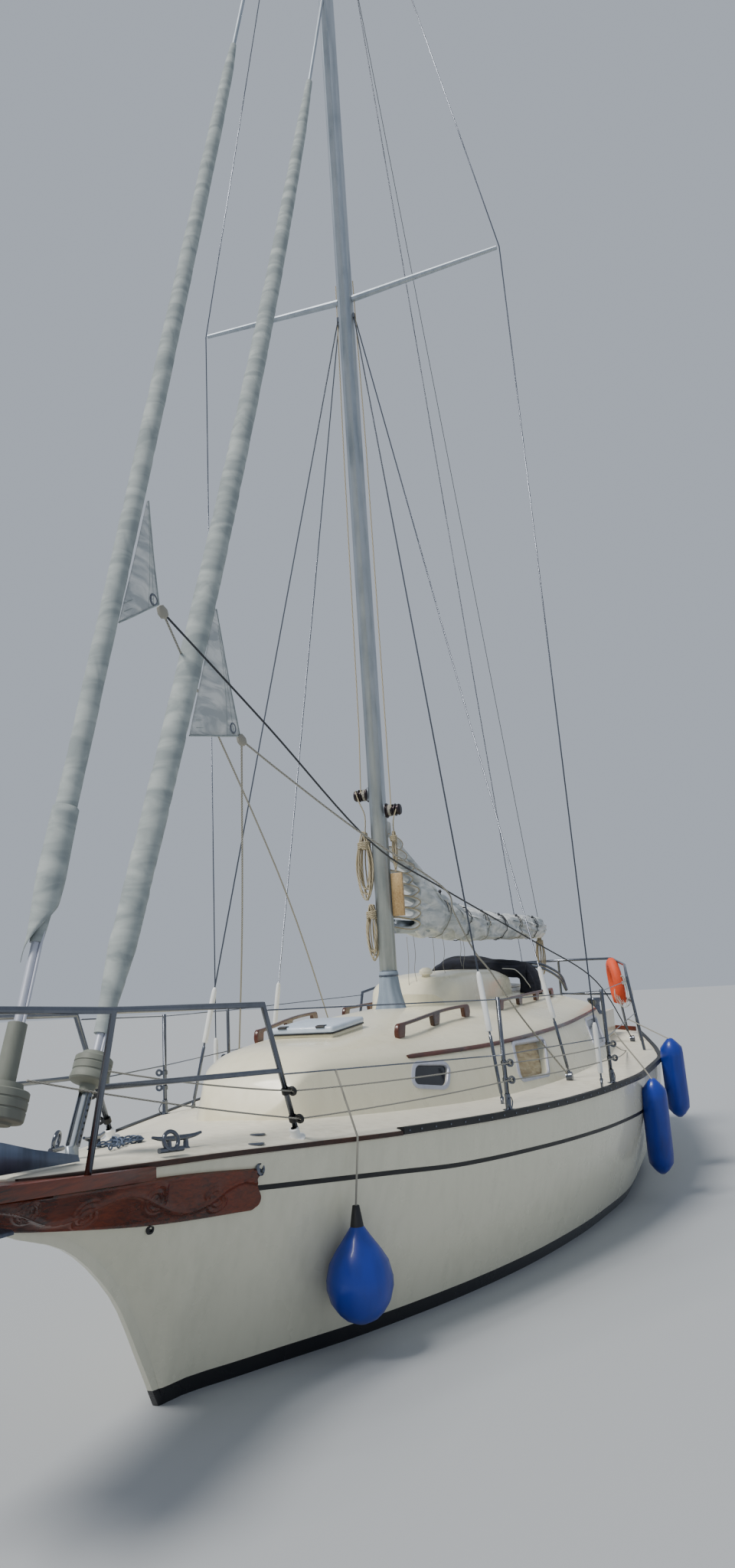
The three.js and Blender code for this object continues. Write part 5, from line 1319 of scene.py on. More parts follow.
show(joined(hinges), "hatch_hinges", BLACK_PLASTIC, "fore_hatch")
VENT = [(0.030, -0.012), (0.032, 0.012), (0.027, 0.022), (0.046, 0.026), (0.052, 0.034), (0.047, 0.052),
        (0.028, 0.064), (0, 0.068)]
show(turned(VENT, mm(-590, 75, 1614), Vector((0.25, 0.1, 1))), "hood_vent", GELCOAT)
print("hinges:", len(hinges) // 2)

# %% [markdown]
# ## Cockpit
#
# The well, the locker lids, the pedestal and the wheel are seen only from astern. Their solids
# have the right shape, so copies with rounded edges or smooth shading are enough.

# %% Smooth copies
def smoothed(name, material, body="yacht", sharp=40):
    """Stands a smooth-shaded copy in for a solid with small facets."""
    return show(copy_of(name), name + "_skin", material, body, (name,), sharp)


# %% Cockpit
softened("cockpit_tub", GELCOAT, rounding=0.014, segments=3)
softened("locker_lid_port", GELCOAT, "locker_port", rounding=0.005)
softened("locker_lid_stbd", GELCOAT, "locker_stbd", rounding=0.005)
smoothed("steering_pedestal", GELCOAT)
wheel = smoothed("steering_wheel", STEEL, "wheel")
print("wheel faces:", len(wheel.data.polygons))

# %% [markdown]
# ## Metalwork
#
# The rails, stays and spars of the frame are round bars with few sides. A merged copy of each,
# shaded smooth, gives the polished tube that the real one is.

# %% Rails, wires and spars
STEEL_PARTS = ("pulpit", "pushpit_port", "pushpit_stbd", "lifelines_port", "lifelines_stbd", "backstay",
               "cap_shroud_port", "cap_shroud_stbd", "lower_shrouds_port", "lower_shrouds_stbd",
               "cockpit_winch_port", "cockpit_winch_stbd", "bow_roller")
for name in STEEL_PARTS:
    smoothed(name, STEEL)
for name in ("spreader_port", "spreader_stbd", "outer_stay", "inner_stay"):
    smoothed(name, ANODISED)
smoothed("boom", ANODISED, "boom")
smoothed("anchor", GALVANISED)
softened("bow_platform", TEAK, rounding=0.01)
print("steel parts:", len(STEEL_PARTS))

# %% [markdown]
# ## Grab rails
#
# Teak rails on the roof give the crew a hold. Each touches the roof only at its feet, with room
# for fingers in between. A carpenter cuts such a rail from one plank, so it is one skin here too,
# whose lower edge drops to the roof at every foot.

# %% Grab rails
GRAB_RAILS = {"fore": (1150, 455, 20, 560, 3, 60), "aft": (-590, 610, -2330, 640, 4, 52)}
GRAB_WIDE, GRAB_HIGH, GRAB_FOOT = 26, 20, 95


def grab_rail(x_fore, y_fore, x_aft, y_aft, feet, rise, side):
    """A rail whose ends curve down into feet, with flared feet between them."""
    def at(x, lift, y_off=0.0):
        share = (x - x_fore) / (x_aft - x_fore)
        y = y_fore + (y_aft - y_fore) * share
        return mm(x, (y + y_off) * side, roof_z(x / 1000, y / 1000) * 1000 + lift)

    def section(top, low, x):
        half = GRAB_WIDE / 2
        corners = ((low, -half), (low, half), (top, half), (top, -half), (low, -half))
        return rounded([at(x, lift, across) for lift, across in corners], 0.007, 3)[:-1]

    rings = []
    stops = [x_fore - GRAB_FOOT / 2 - (x_fore - x_aft - GRAB_FOOT) * i / (feet - 1) for i in range(feet)]
    for i in range(121):
        x = x_fore + (x_aft - x_fore) * i / 120
        end = min(x_fore - x, x - x_aft)
        round_off = 1 - math.sqrt(max(0.0, 1 - max(0.0, 1 - end / 34) ** 2))
        near = min(abs(x - stop) for stop in stops)
        flare = max(0.0, min(1.0, (GRAB_FOOT / 2 + 12 - near) / 20))
        smooth = flare * flare * (3 - 2 * flare)
        top = rise + GRAB_HIGH - round_off * 34
        rings.append(section(top, min(rise * (1 - smooth) - 4 * smooth, top - 4), x))
    return solid(rings)


for word, side in SIDES:
    for place, sizes in GRAB_RAILS.items():
        show(grab_rail(*sizes, side), f"grab_rail_{place}_{word}_skin", RAIL_TEAK,
             stands_for=(f"grab_rail_{place}_{word}",), sharp=50)
print("grab rails:", len(SIDES) * len(GRAB_RAILS))

# %% Rudder and propeller
# The photograph doesn't show them, so smooth copies of their solids are enough.
smoothed("rudder", ANTIFOUL, "rudder")
propeller = smoothed("propeller", BRONZE, "propeller")
print("propeller faces:", len(propeller.data.polygons))

# %% [markdown]
# ## Mast
#
# The mast is a grey anodised section with a track for the sail's slides on its aft face, and
# dark winches on its sides. A copy of the CAD mast keeps its shape. The faces that stand far out
# from the middle are the winches, so a test of each face's place gives them their own finish.

# %% Mast and its collar
mast = smoothed("mast", ANODISED)
mast.data.materials.append(WINCH_BRONZE)
for face in mast.data.polygons:
    if abs(face.center.y) > 0.0615 and 2.7 < face.center.z < 3.05:
        face.material_index = 1

track = [mm(-86, y, z) for y, z in ((-9, 1480), (9, 1480), (9, 12300), (-9, 12300))]
show(plate(track, mm(9, 0, 0)), "sail_track", BLACK_PLASTIC)
WINCHES = ((1, 2800), (-1, 2930))
DRUM_RADIUS = 39
rims, turns = [], []
for side, height in WINCHES:
    for reach, radius in ((64, 0.052), (112, 0.040), (131, 0.043)):
        rim = [(radius, 0), (radius + 0.002, 0.002), (radius + 0.002, 0.005), (radius, 0.007), (0.02, 0.007)]
        rims.append(turned(rim, mm(0, reach * side, height), Vector((0, side, 0)), 28))
    angles = [i / 12 * 2 * math.pi for i in range(40)]
    coil = [mm(DRUM_RADIUS * math.sin(angle), (86 + 5.5 * i / 12) * side,
               height + DRUM_RADIUS * math.cos(angle)) for i, angle in enumerate(angles)]
    turns.append(tube(coil, 0.0045))
show(joined(rims), "mast_winch_rims", WINCH_BRONZE)
show(joined(turns), "winch_rope_turns", GREY_ROPE)

# The collar's rows hold a height and the half sizes fore and aft and across, in millimetres.
BOOT = [(1376, 128, 112), (1392, 129, 113), (1410, 122, 106), (1470, 106, 90), (1540, 92, 74),
        (1600, 86, 66), (1640, 83, 63), (1650, 85, 65), (1662, 84, 64), (1672, 80, 60)]
rings = []
for z, half_x, half_y in BOOT:
    ring = []
    for k in range(72):
        angle = 2 * math.pi * k / 72
        pleat = 1 + 0.035 * math.sin(9 * angle + z * 0.01) * (1.0 if 1400 < z < 1630 else 0.25)
        x, y = half_x * pleat * math.cos(angle), half_y * pleat * math.sin(angle)
        on_roof = roof_z(x / 1000, y / 1000) * 1000 - 2
        ring.append(mm(x, y, on_roof if z == BOOT[0][0] else z))
    rings.append(ring)
rings = more_rings(rings, [row[0] for row in BOOT], 3)
show(solid(rings), "mast_collar", BOOT_GREY, stands_for=("mast_boot",), sharp=60)
clamp_ring = turned([(0.081, 0), (0.085, 0.003), (0.085, 0.011), (0.081, 0.014), (0.07, 0.007)],
                    mm(0, 0, 1636), steps=48)
bmesh.ops.scale(clamp_ring, verts=clamp_ring.verts, vec=Vector((1.02, 0.79, 1)))
show(clamp_ring, "mast_collar_clamp", STEEL)
print("mast winches:", len(WINCHES))

# %% [markdown]
# ## Rigging fittings
#
# The wires end in turnbuckles that are pinned to plates on the deck. White plastic tubes slide
# over them so that sails and hands don't chafe. Each is a bar that is swept along the line of its
# own wire, so it can't stray from it.

# %% Covers and turnbuckles on the shrouds
# Each row holds the wire's foot and head, then the heights of the cover's foot and top.
SHROUDS = {
    "cap": ((0, 1400, 905), (0, 1246, 6906), 952, 1268),
    "fore": ((985, 1005, 925), (0, 66, 6700), 1296, 1640),
    "aft": ((-330, 1130, 925), (0, 66, 6700), 1290, 1640),
}
COVER_RADIUS = 0.017


def up_wire(foot, head, height):
    """The point on a wire at a height in millimetres."""
    return foot.lerp(head, (height / 1000 - foot.z) / (head.z - foot.z))


for word, side in SIDES:
    for place, (foot, head, low, high) in SHROUDS.items():
        foot, head = mm(foot[0], foot[1] * side, foot[2]), mm(head[0], head[1] * side, head[2])
        base = foot.z * 1000
        cover = {low: 0.9, low + 4: 1, low + 60: 1, high - 60: 1, high - 18: 0.86, high - 4: 0.6, high: 0.42}
        line = [up_wire(foot, head, height) for height in cover]
        show(tube(line, [COVER_RADIUS * size for size in cover.values()], 20), f"shroud_cover_{place}_{word}",
             WHITE_PLASTIC)
        screw = {base - 2: 11, base + 12: 11, base + 14: 6.5, base + 30: 6.5, base + 34: 10, low - 26: 10,
                 low - 22: 6.5, low - 6: 6.5, low + 6: 6.5}
        line = [up_wire(foot, head, height) for height in screw]
        show(tube(line, [size / 1000 for size in screw.values()], 14), f"turnbuckle_{place}_{word}", STEEL)
print("shroud covers:", 2 * len(SHROUDS))

# %% [markdown]
# ## Furling drums
#
# A drum at the foot of each stay takes up the line that rolls the sail. It is a turned shape, so
# its profile is spun round the stay. The inner one stands on two flat straps with rows of holes.

# %% Furling drums
# Each drum is a profile of radius and distance up its stay. Each stay is a foot, a head and a sag.
DRUMS = {
    "yankee": [(0, 147), (50, 150), (56, 158), (87, 162), (92, 168), (94, 197), (91, 200), (91, 203),
               (94.5, 206), (95, 232), (92, 235), (92, 238), (95.5, 241), (95, 264), (91, 268), (70, 271),
               (66, 292), (37, 297), (35, 505), (28, 508), (0, 509)],
    "staysail": [(0, 214), (30, 216), (32, 246), (54, 251), (74, 256), (79, 262), (79, 268), (75, 290),
                 (72, 293), (72, 296), (75, 299), (76, 321), (73, 324), (73, 327), (76, 330), (75, 350),
                 (70, 355), (58, 359), (50, 373), (0, 375)],
}
DRUM_MIDDLE = 300
OUTER_STAY = (mm(4010, 0, 1100), mm(105, 0, 12400), 0.025)
INNER_STAY = (mm(3540, 0, 1090), mm(84, 0, 9530), 0.130)


def on_stay(stay, share):
    """A point a share of the way up a stay that sags square to its own line."""
    foot, head, sag = stay
    run = (head - foot).normalized()
    down = Vector((-run.z, 0, run.x))
    return foot.lerp(head, share) + down * (sag * 4 * share * (1 - share))


def along_stay(stay, height):
    """The point on a stay at a distance from its foot in millimetres, and the stay's way there."""
    share = height / 1000 / (stay[1] - stay[0]).length
    return on_stay(stay, share), (on_stay(stay, share + 0.004) - on_stay(stay, share)).normalized()


for name, stay in (("yankee", OUTER_STAY), ("staysail", INNER_STAY)):
    middle, way = along_stay(stay, DRUM_MIDDLE)
    profile = [(radius / 1000, (height - DRUM_MIDDLE) / 1000) for radius, height in DRUMS[name]]
    show(turned(profile, middle, way, 56), f"{name}_drum_skin", DRUM_GREY, stands_for=(f"{name}_drum",),
         sharp=35)
print("drums:", len(DRUMS))

# %% Straps under the inner drum
straps, holes = [], []
for side in (1, -1):
    low, high = (along_stay(INNER_STAY, height)[0] + Vector((0, 0.024 * side, 0)) for height in (8, 236))
    line = [low.lerp(high, share) for share in (0, 0.02, 0.98, 1)]
    strap = tube(line, [0.006, 0.0125, 0.0125, 0.006], 24)
    to_middle = Matrix.Translation(-(low + high) / 2)
    bmesh.ops.scale(strap, verts=strap.verts, vec=Vector((1, 0.22, 1)), space=to_middle)
    straps.append(strap)
    for k in range(9):
        spot = along_stay(INNER_STAY, 26 + 24 * k)[0] + Vector((0, 0.0266 * side, 0))
        holes.append(turned([(0.005, 0), (0.005, 0.0008), (0, 0.0008)], spot, Vector((0, side, 0)), 12))
show(joined(straps), "staysail_straps", STEEL)
show(joined(holes), "staysail_strap_holes", BLACK_PLASTIC)
print("straps:", len(straps), "with holes:", len(holes))

# %% [markdown]
# ## Fittings of the rails
#
# The stanchions stand in flared feet, and clamps on the rails hold small blocks that lead the
# furling lines aft. Each clamp is the same turned collar and eye, set at a point of its tube.

# %% Fittings of the rails
PULPIT_LEG = (mm(2584, 490, 975), mm(2860, 485, 1570))
LEG_RADIUS = 0.0135
LEG_SHARES = (0.15, 0.36)
STANCHION_X = (1.18, -0.24)
STANCHION_IN = 0.045
STANCHION_LEAN = 0.012 / 0.6
STANCHION_RADIUS = 0.0125
BLOCK_HEIGHTS = (0.16, 0.25)
EYE_REACH = 0.024
EYE = [(0.010, -0.006), (0.020, -0.008), (0.023, 0), (0.020, 0.008), (0.010, 0.006), (0.008, 0)]
STANCHION_FOOT = [(0, 0), (0.036, 0), (0.037, 0.003), (0.034, 0.006), (0.018, 0.009), (0.0165, 0.012),
                  (0.0165, 0.085), (0.013, 0.088)]
PULPIT_FOOT = [(0, -0.004), (0.04, -0.004), (0.041, 0.004), (0.026, 0.009), (0.022, 0.014), (0.0215, 0.05),
               (0.0145, 0.054)]


def outward(side):
    """The way out of the boat at the bow rails, a little ahead of square."""
    return Vector((0.25, side, 0)).normalized()


def clamp_eye(foot, radius, side=1):
    """The middle of the block on the outer side of a clamp."""
    return foot + outward(side) * (radius + EYE_REACH)


def clamp(foot, way, radius, side):
    """A clamp round a rail's leg with a block for the furling line on its outer side."""
    across = way.cross(outward(side)).normalized()
    section = [(radius, -0.012), (radius + 0.006, -0.012), (radius + 0.006, 0.012), (radius, 0.012)]
    eye = turned(EYE, clamp_eye(foot, radius, side), across, 20)
    return joined([turned(section, foot, way, 20), eye])


def stanchion(x, side, height=0.0):
    """The point on a stanchion's axis at a height over the deck."""
    y = sheer(x)[0] - STANCHION_IN
    return Vector((x, (y - STANCHION_LEAN * height) * side, deck_z(x, y) + height))


# %% Clamps, feet and blocks
fittings = []
for side in (1, -1):
    leg = [Vector((p.x, p.y * side, p.z)) for p in PULPIT_LEG]
    for share in LEG_SHARES:
        fittings.append(clamp(leg[0].lerp(leg[1], share), (leg[1] - leg[0]).normalized(), LEG_RADIUS, side))
show(joined(fittings), "pulpit_fittings", BLACK_PLASTIC)

feet, collars = [], []
for x in STANCHION_X:
    for side in (1, -1):
        foot = stanchion(x, side)
        way = (stanchion(x, side, 0.6) - foot).normalized()
        feet.append(turned(STANCHION_FOOT, foot - way * 0.001, way, 28))
        for end in (1, -1):
            bow = [foot + Vector((0.03 * end * math.sin(t * math.pi / 8) + 0.017 * end, 0.012 * side,
                                  0.004 + 0.062 * (t / 8))) for t in range(9)]
            feet.append(tube(bow, 0.0035))
        collars += [clamp(foot + way * height, way, STANCHION_RADIUS, side) for height in BLOCK_HEIGHTS]
show(joined(feet), "stanchion_feet", STEEL)
show(joined(collars), "stanchion_blocks", STEEL)
for word, side in SIDES:
    base = turned(PULPIT_FOOT, mm(2594, 487 * side, 974), (PULPIT_LEG[1] - PULPIT_LEG[0]).normalized(), 28)
    show(base, f"pulpit_foot_{word}", WHITE_PLASTIC)
print("clamps:", len(fittings) + len(collars))

# %% [markdown]
# ## Furled headsails
#
# Both headsails are rolled round their stays, with the strip of grey cloth that shields them from
# the sun outermost. The lap of the cloth winds down each roll as a helix, and the pull of the
# sheets leaves slanting creases. An image could paint both on, but here the long lines of one
# grid wind up the stay with the cloth, so the lap is a crisp edge, and noise adds the creases.

# %% Rolls
def between(rows, share):
    """The value at a share, on straight lines through rows of share and value."""
    for (a, low), (b, high) in zip(rows, rows[1:]):
        if share <= b:
            return low + (high - low) * (share - a) / (b - a)
    return rows[-1][1]


def ahead_of(stay):
    """The way square to a stay and ahead of it, in the boat's middle plane."""
    run = (stay[1] - stay[0]).normalized()
    return Vector((run.z, 0, -run.x))


def rolled_sail(name, stay, rows, laps, seed):
    """A furled sail. The grid's long lines wind up the stay, so that the lap keeps a crisp edge."""
    out = ahead_of(stay)
    steps, sides = 420, 36
    rings = []
    for i in range(steps + 1):
        share = rows[0][0] + (rows[-1][0] - rows[0][0]) * i / steps
        centre, radius = on_stay(stay, share), between(rows, share)
        ring = []
        for k in range(sides):
            lap = k / (sides - 1)
            angle = 2 * math.pi * ((k + 0.5) / sides - share * laps)
            turn = 2 * math.pi * lap
            spot = Vector((math.cos(turn) * 1.2, math.sin(turn) * 1.2, share * 60 + seed))
            crease = noise.noise(spot) * 0.035 + noise.noise(spot * 2.6) * 0.02
            tug = 0.03 * math.sin(turn + share * 400) * (1 - lap)
            grown = radius * (0.91 + 0.05 * lap ** 0.6 + 0.5 * crease + 0.4 * tug)
            ring.append(centre + out * (grown * math.cos(angle)) + Vector((0, grown * math.sin(angle), 0)))
        rings.append(ring)
    show(solid(rings), f"{name}_furled", SAIL_GREY, stands_for=(f"{name}_roll",), sharp=50)


# Each row holds a share of the stay's length and the roll's radius there, in metres.
YANKEE_ROWS = [(0.068, 0.026), (0.09, 0.046), (0.3, 0.049), (0.5, 0.042), (0.55, 0.035), (0.575, 0.020)]
STAYSAIL_ROWS = [(0.05, 0.030), (0.09, 0.062), (0.3, 0.066), (0.6, 0.056), (0.8, 0.042), (0.87, 0.026)]
ROLLS = (("yankee", OUTER_STAY, YANKEE_ROWS, 17, 3.1), ("staysail", INNER_STAY, STAYSAIL_ROWS, 22, 8.4))
for row in ROLLS:
    rolled_sail(*row)
print("rolls:", len(ROLLS))

# %% [markdown]
# ## Foils and the hem of the outer roll
#
# Between each drum and its roll the grooved foil shows, as a bright round tube on the stay. The
# foot of the outer roll isn't wound tight: its last lap flares out into a loose hem. A cloth
# simulation could give it, but a grid that leaves the stay a little more at its lower edge is
# quicker and stays where it is put.

# %% Declared cloth
def sheet(name, rings, material, long, held, rests_on, thick=0.0015, body="yacht", stands_for=(), sharp=80):
    """A sheet of cloth over rings of points. Its flat size is its area over a length in metres."""
    piece = show(skin(rings), name, material, body, stands_for, sharp)
    wall = piece.modifiers.new("wall", "SOLIDIFY")
    wall.thickness = thick
    area = sum(face.area for face in piece.data.polygons)
    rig.sheet(piece, flat=(round(area / long, 3), long), held=held, rests_on=rests_on)


# %% Foils and hem
foils = []
for name, stay, rows in (("yankee", OUTER_STAY, YANKEE_ROWS), ("staysail", INNER_STAY, STAYSAIL_ROWS)):
    low = max(height for _, height in DRUMS[name]) - 20
    high = rows[0][0] * (stay[1] - stay[0]).length * 1000 + 60
    line = [along_stay(stay, low + (high - low) * k / 6)[0] for k in range(7)]
    foils.append(tube(line, 0.0165, 20))
    foils.append(tube([point + Vector((-0.004, 0.022, 0)) for point in line], 0.006, 8))
show(joined(foils), "stay_foils", FRAME_ALLOY, sharp=50)

rings = []
for i in range(33):
    turn = -0.9 + 5.0 * i / 32
    around = ahead_of(OUTER_STAY) * math.cos(turn) + Vector((0, math.sin(turn), 0))
    low = 0.061 + 0.034 * i / 32
    ring = []
    for k in range(17):
        share = low + (0.115 - low) * k / 16
        flare = 0.014 * (1 - k / 16) ** 1.5 * math.sin(math.pi * min(1, 0.15 + i / 32))
        radius = between(YANKEE_ROWS, max(0.07, share)) * 1.06 + 0.004
        ring.append(on_stay(OUTER_STAY, share) + around * (radius + flare))
    rings.append(ring)
sheet("yankee_hem", rings, SAIL_GREY, 0.42, "gathered", ["yacht"], thick=0.002, sharp=60)
print("foils:", len(foils) // 2)

# %% [markdown]
# ## Clews and sheets of the headsails
#
# The corner of a headsail where its sheets are tied, the clew, doesn't roll up with the rest. It
# stands out as a triangle of cloth, pulled straight by the ropes, with tapes sewn on its edges and
# a ring in its tip. Each sheet is knotted there and runs aft to a block on the deck.

# %% Clews
def clew_corner(name, top, clew, low, twist):
    """The triangle of cloth that stands out of a furled sail at its clew, with tapes and a ring."""
    rings = []
    for i in range(25):
        t = i / 24
        start, end = top.lerp(low, t), top.lerp(clew, t)
        ring = []
        for k in range(17):
            s = k / 16
            hang = twist * math.sin(math.pi * s) * math.sin(math.pi * t) + 0.004 * math.sin(9 * s + 5 * t)
            ring.append(start.lerp(end, s) + Vector((0, hang * t, 0)))
        rings.append(ring)
    sheet(name, rings[1:], SAIL_WHITE, 0.7, "stretched", ["yacht"], sharp=60)
    tapes = [tube([ring[-1] for ring in rings[1:]], 0.004), tube(rings[-1], 0.004)]
    for back in (2, 4):
        tapes.append(tube([ring[-1 - back] for ring in rings[4:]], 0.0016, 6))
        tapes.append(tube([point + Vector((0, 0, 0.02 * back)) for point in rings[-1][2:-back]], 0.0016, 6))
    show(joined(tapes), name + "_tapes", SAIL_GREY, sharp=80)
    ring_at = clew.lerp(low, 0.12).lerp(top, 0.06)
    circle = [ring_at + Vector((0.026 * math.cos(k / 4), 0, 0.026 * math.sin(k / 4))) for k in range(26)]
    show(tube(circle, 0.006), name + "_ring", STEEL)


clew_corner("yankee_clew", mm(2930, 26, 3985), mm(2875, 30, 3458), mm(3185, 24, 3280), 0.02)
clew_corner("staysail_clew", mm(2312, 26, 3640), mm(2113, 30, 2957), mm(2610, 24, 2870), 0.03)
print("pieces so far:", len(bpy.data.objects))

# %% Ropes
def curved(points, steps=6):
    """A smooth line through points."""
    ends = [2 * points[0] - points[1], *points, 2 * points[-1] - points[-2]]
    made = []
    for a, b, c, d in zip(ends, ends[1:], ends[2:], ends[3:]):
        for step in range(steps):
            t = step / steps
            made.append(0.5 * (2 * b + (c - a) * t + (2 * a - 5 * b + 4 * c - d) * t ** 2
                               + (3 * b - a - 3 * c + d) * t ** 3))
    return [*made, points[-1]]


def rope(name, line, thick, material, body="yacht", far="object", lay="taut"):
    """A rope of a thickness along a line, declared as the cord that it is."""
    piece = show(tube(line, thick / 2), name, material, body, sharp=80)
    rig.cord(piece, exit=line[0], length=length_of(line), diameter=thick, far_end=far,
            stiffness="limp", lay=lay, path=line)


# %% Sheets of the headsails
def on_deck(x, y, lift=0.0):
    """The place on the deck at a station and a distance off the middle, lifted a little."""
    return mm(x, y, deck_z(x / 1000, y / 1000) * 1000 + lift)


YANKEE_TACK, STAYSAIL_TACK = mm(2843, 34, 3429), mm(2102, 37, 2937)
SHEETS = {
    "yankee_sheet_port": [YANKEE_TACK, mm(2066, 177, 3000), mm(1098, 353, 2447), mm(242, 508, 2200),
                          mm(-1239, 777, 1823), mm(-2486, 1004, 1470), on_deck(-3290, 1150, 24)],
    "yankee_sheet_stbd": [YANKEE_TACK, mm(400, -560, 2230), on_deck(-1990, -1250, 24)],
    "staysail_sheet_port": [STAYSAIL_TACK, mm(1850, 155, 2775), mm(1382, 378, 2490), mm(764, 672, 2170),
                            mm(680, 712, 2010), mm(539, 779, 1773), mm(402, 844, 1625), mm(170, 955, 1334),
                            on_deck(-240, 1150, 24)],
    "staysail_sheet_stbd": [STAYSAIL_TACK, mm(1120, -535, 1975), on_deck(150, -1140, 24)],
}
SHEET_THICK = 0.011
KNOT = [(0, -0.035), (0.02, -0.025), (0.026, 0), (0.018, 0.03), (0, 0.036)]
BLOCK = [(0, -0.022), (0.03, -0.02), (0.03, 0.02), (0, 0.022)]
for name, places in SHEETS.items():
    rope(name, curved(places[::-1], 8), SHEET_THICK, DARK_ROPE if name == "yankee_sheet_port" else GREY_ROPE,
         far="knot")
knots = [turned(KNOT, spot, Vector((0.4, -0.2, 0.8)), 12) for spot in (YANKEE_TACK, STAYSAIL_TACK)]
show(joined(knots), "sheet_knots", GREY_ROPE)
blocks = [turned(BLOCK, places[-1], Vector((0, 1, 0.1)), 16) for places in SHEETS.values()]
show(joined(blocks), "sheet_blocks", STEEL)
print("sheets:", len(SHEETS))

# %% [markdown]
# ## Mainsail on the boom
#
# The mainsail lies flaked on the boom: a fan of loops at the mast, then a bundle that the ties
# squeeze. The bundle is a skin through stations along the boom, with folds pressed into it.

# %% Places along the boom
BOOM_X, BOOM_REST = -125, math.radians(5.2)


def boom_point(r, side, z):
    """A point at a distance aft of the boom's pin, to one side of the boom, at a height."""
    return mm(BOOM_X - r * math.cos(BOOM_REST) - side * math.sin(BOOM_REST),
              r * math.sin(BOOM_REST) - side * math.cos(BOOM_REST), z)


# Rows in millimetres: distance aft of the pin, half breadth, heights of the foot and of the top.
SAIL_STACK = [(75, 62, 1918, 2650), (280, 105, 1910, 2570), (490, 130, 1900, 2465),
              (700, 150, 1900, 2325), (1000, 165, 1885, 2215), (1500, 160, 1870, 2155),
              (2100, 140, 1885, 2125), (2900, 120, 1890, 2115), (3420, 90, 1900, 2105)]
TIES = (760, 1190, 1640, 2080, 2560, 3060)
stack_sizes = [monotone([row[0] for row in SAIL_STACK], [row[c] for row in SAIL_STACK]) for c in (1, 2, 3)]


def near_ties(r, reach):
    """How near a place along the boom is to a tie, from 0 to about 1."""
    return sum(math.exp(-((r - tie) / reach) ** 2) for tie in TIES)


def stack_point(r, angle, out=0.0):
    """A point on the bundle's skin. The angle runs from its top over the port side, in turns."""
    wide, low, high = (size(r) for size in stack_sizes)
    side, lift = math.sin(2 * math.pi * angle), math.cos(2 * math.pi * angle)
    spot = Vector((r / 520, lift * 2.6 + r / 900, side * 1.4))
    long_fold = 1 - 2.4 * abs(noise.noise(spot))
    short_fold = 1 - 2 * abs(noise.noise(Vector((r / 95, lift * 1.1, side * 1.6 + 4))))
    grown = 0.80 - 0.15 * near_ties(r, 55) + 0.15 * long_fold + 0.06 * short_fold * near_ties(r, 130)
    middle, half = (low + high) / 2, (high - low) / 2
    narrow = 1 - 0.3 * max(0, lift) ** 2
    height = middle + lift * (half * min(0.99, grown + 0.07) + out)
    return boom_point(r, -side * (wide * grown * narrow + out), height)


print("end of the boom:", [round(number, 3) for number in boom_point(3440, 0, 2010)])

# %% Bundle of the sail
rings = [[stack_point(330 + 3085 * i / 230, k / 88) for k in range(88)] for i in range(231)]
show(solid(rings), "mainsail_bundle", SAIL_WHITE, "boom", ("mainsail_flaked",), sharp=80)
print("bundle:", len(rings), "rings")

# %% [markdown]
# ## Loops of the sail at the mast
#
# Slides hold the sail's fore edge to the mast, so it can't fall with the rest: between two slides
# it hangs out in a loop. A cloth simulation could drop it, but a grid for each loop, from its edge
# at the mast to its place on the bundle, keeps the order that is seen.

# %% Loops of the sail at the mast
LUFF_SLIDES = [2655, 2560, 2470, 2385, 2300, 2215, 2130, 2050, 1975]
LUFF_FOOT, LUFF_TOP = 1918, 2655
LOOP_REACH = [70, 120, 150, 165, 175, 180, 175, 165]


def luff_edge(top, low, reach, side):
    """The edge of one loop: out from a slide on the mast, round, and back to the next slide."""
    fall = top - low
    return curved([boom_point(-12, 0, top), boom_point(40, 0.42 * reach * side, top - 0.1 * fall),
                   boom_point(105, 0.9 * reach * side, top - 0.55 * fall),
                   boom_point(128, reach * side, top - 1.0 * fall),
                   boom_point(92, 0.72 * reach * side, low - 0.5 * fall),
                   boom_point(30, 0.25 * reach * side, low - 0.25 * fall), boom_point(-12, 0, low)], 6)


loop_edges = []
for i, (top, low, reach) in enumerate(zip(LUFF_SLIDES, LUFF_SLIDES[1:], LOOP_REACH)):
    side = -1 if i % 2 == 0 or i > 4 else -0.8
    edge = luff_edge(top, low + 14, reach, side)
    rings = []
    for step in range(25):
        t = step / 24
        r = 640 * t ** 0.9
        wide, under, over = (size(max(90, r)) for size in stack_sizes)
        row = []
        for k, point in enumerate(edge):
            share = k / (len(edge) - 1)
            lift = (top - share * (top - low) - LUFF_FOOT) / (LUFF_TOP - LUFF_FOOT)
            level = under + (over - under) * (0.04 + 0.9 * lift)
            bulge = math.sin(math.pi * share) * (1 - 0.35 * t)
            half = (over - under) / 2
            round_off = math.sqrt(max(0.06, 1 - ((level - (under + over) / 2) / half) ** 2))
            aim = boom_point(r - 12, side * wide * (0.25 + 0.75 * bulge) * round_off, level)
            row.append(point.lerp(aim, min(1, t * 1.5) ** 0.8) if t else point)
        rings.append(row)
    sheet(f"luff_loop_{i + 1}", rings, SAIL_WHITE, 0.64, "folded", ["boom"], body="boom")
    loop_edges.append(tube(edge, 0.0045))
show(joined(loop_edges), "luff_tape", CREAM_ROPE, "boom", sharp=80)
HEADBOARD = ((-34, 2628), (-34, 2735), (-6, 2748), (22, 2700), (22, 2628))
headboard = plate([boom_point(20, side, z) for side, z in HEADBOARD], mm(-9, 0, 0), 0.012)
show(headboard, "sail_headboard", SAIL_WHITE, "boom")
print("luff loops:", len(loop_edges))

# %% [markdown]
# ## Folds and ties
#
# Loose cloth hangs over the bundle's port side, and ties squeeze it. Both are laid on the same
# skin as the bundle, a little further out, so they can't sink into it.

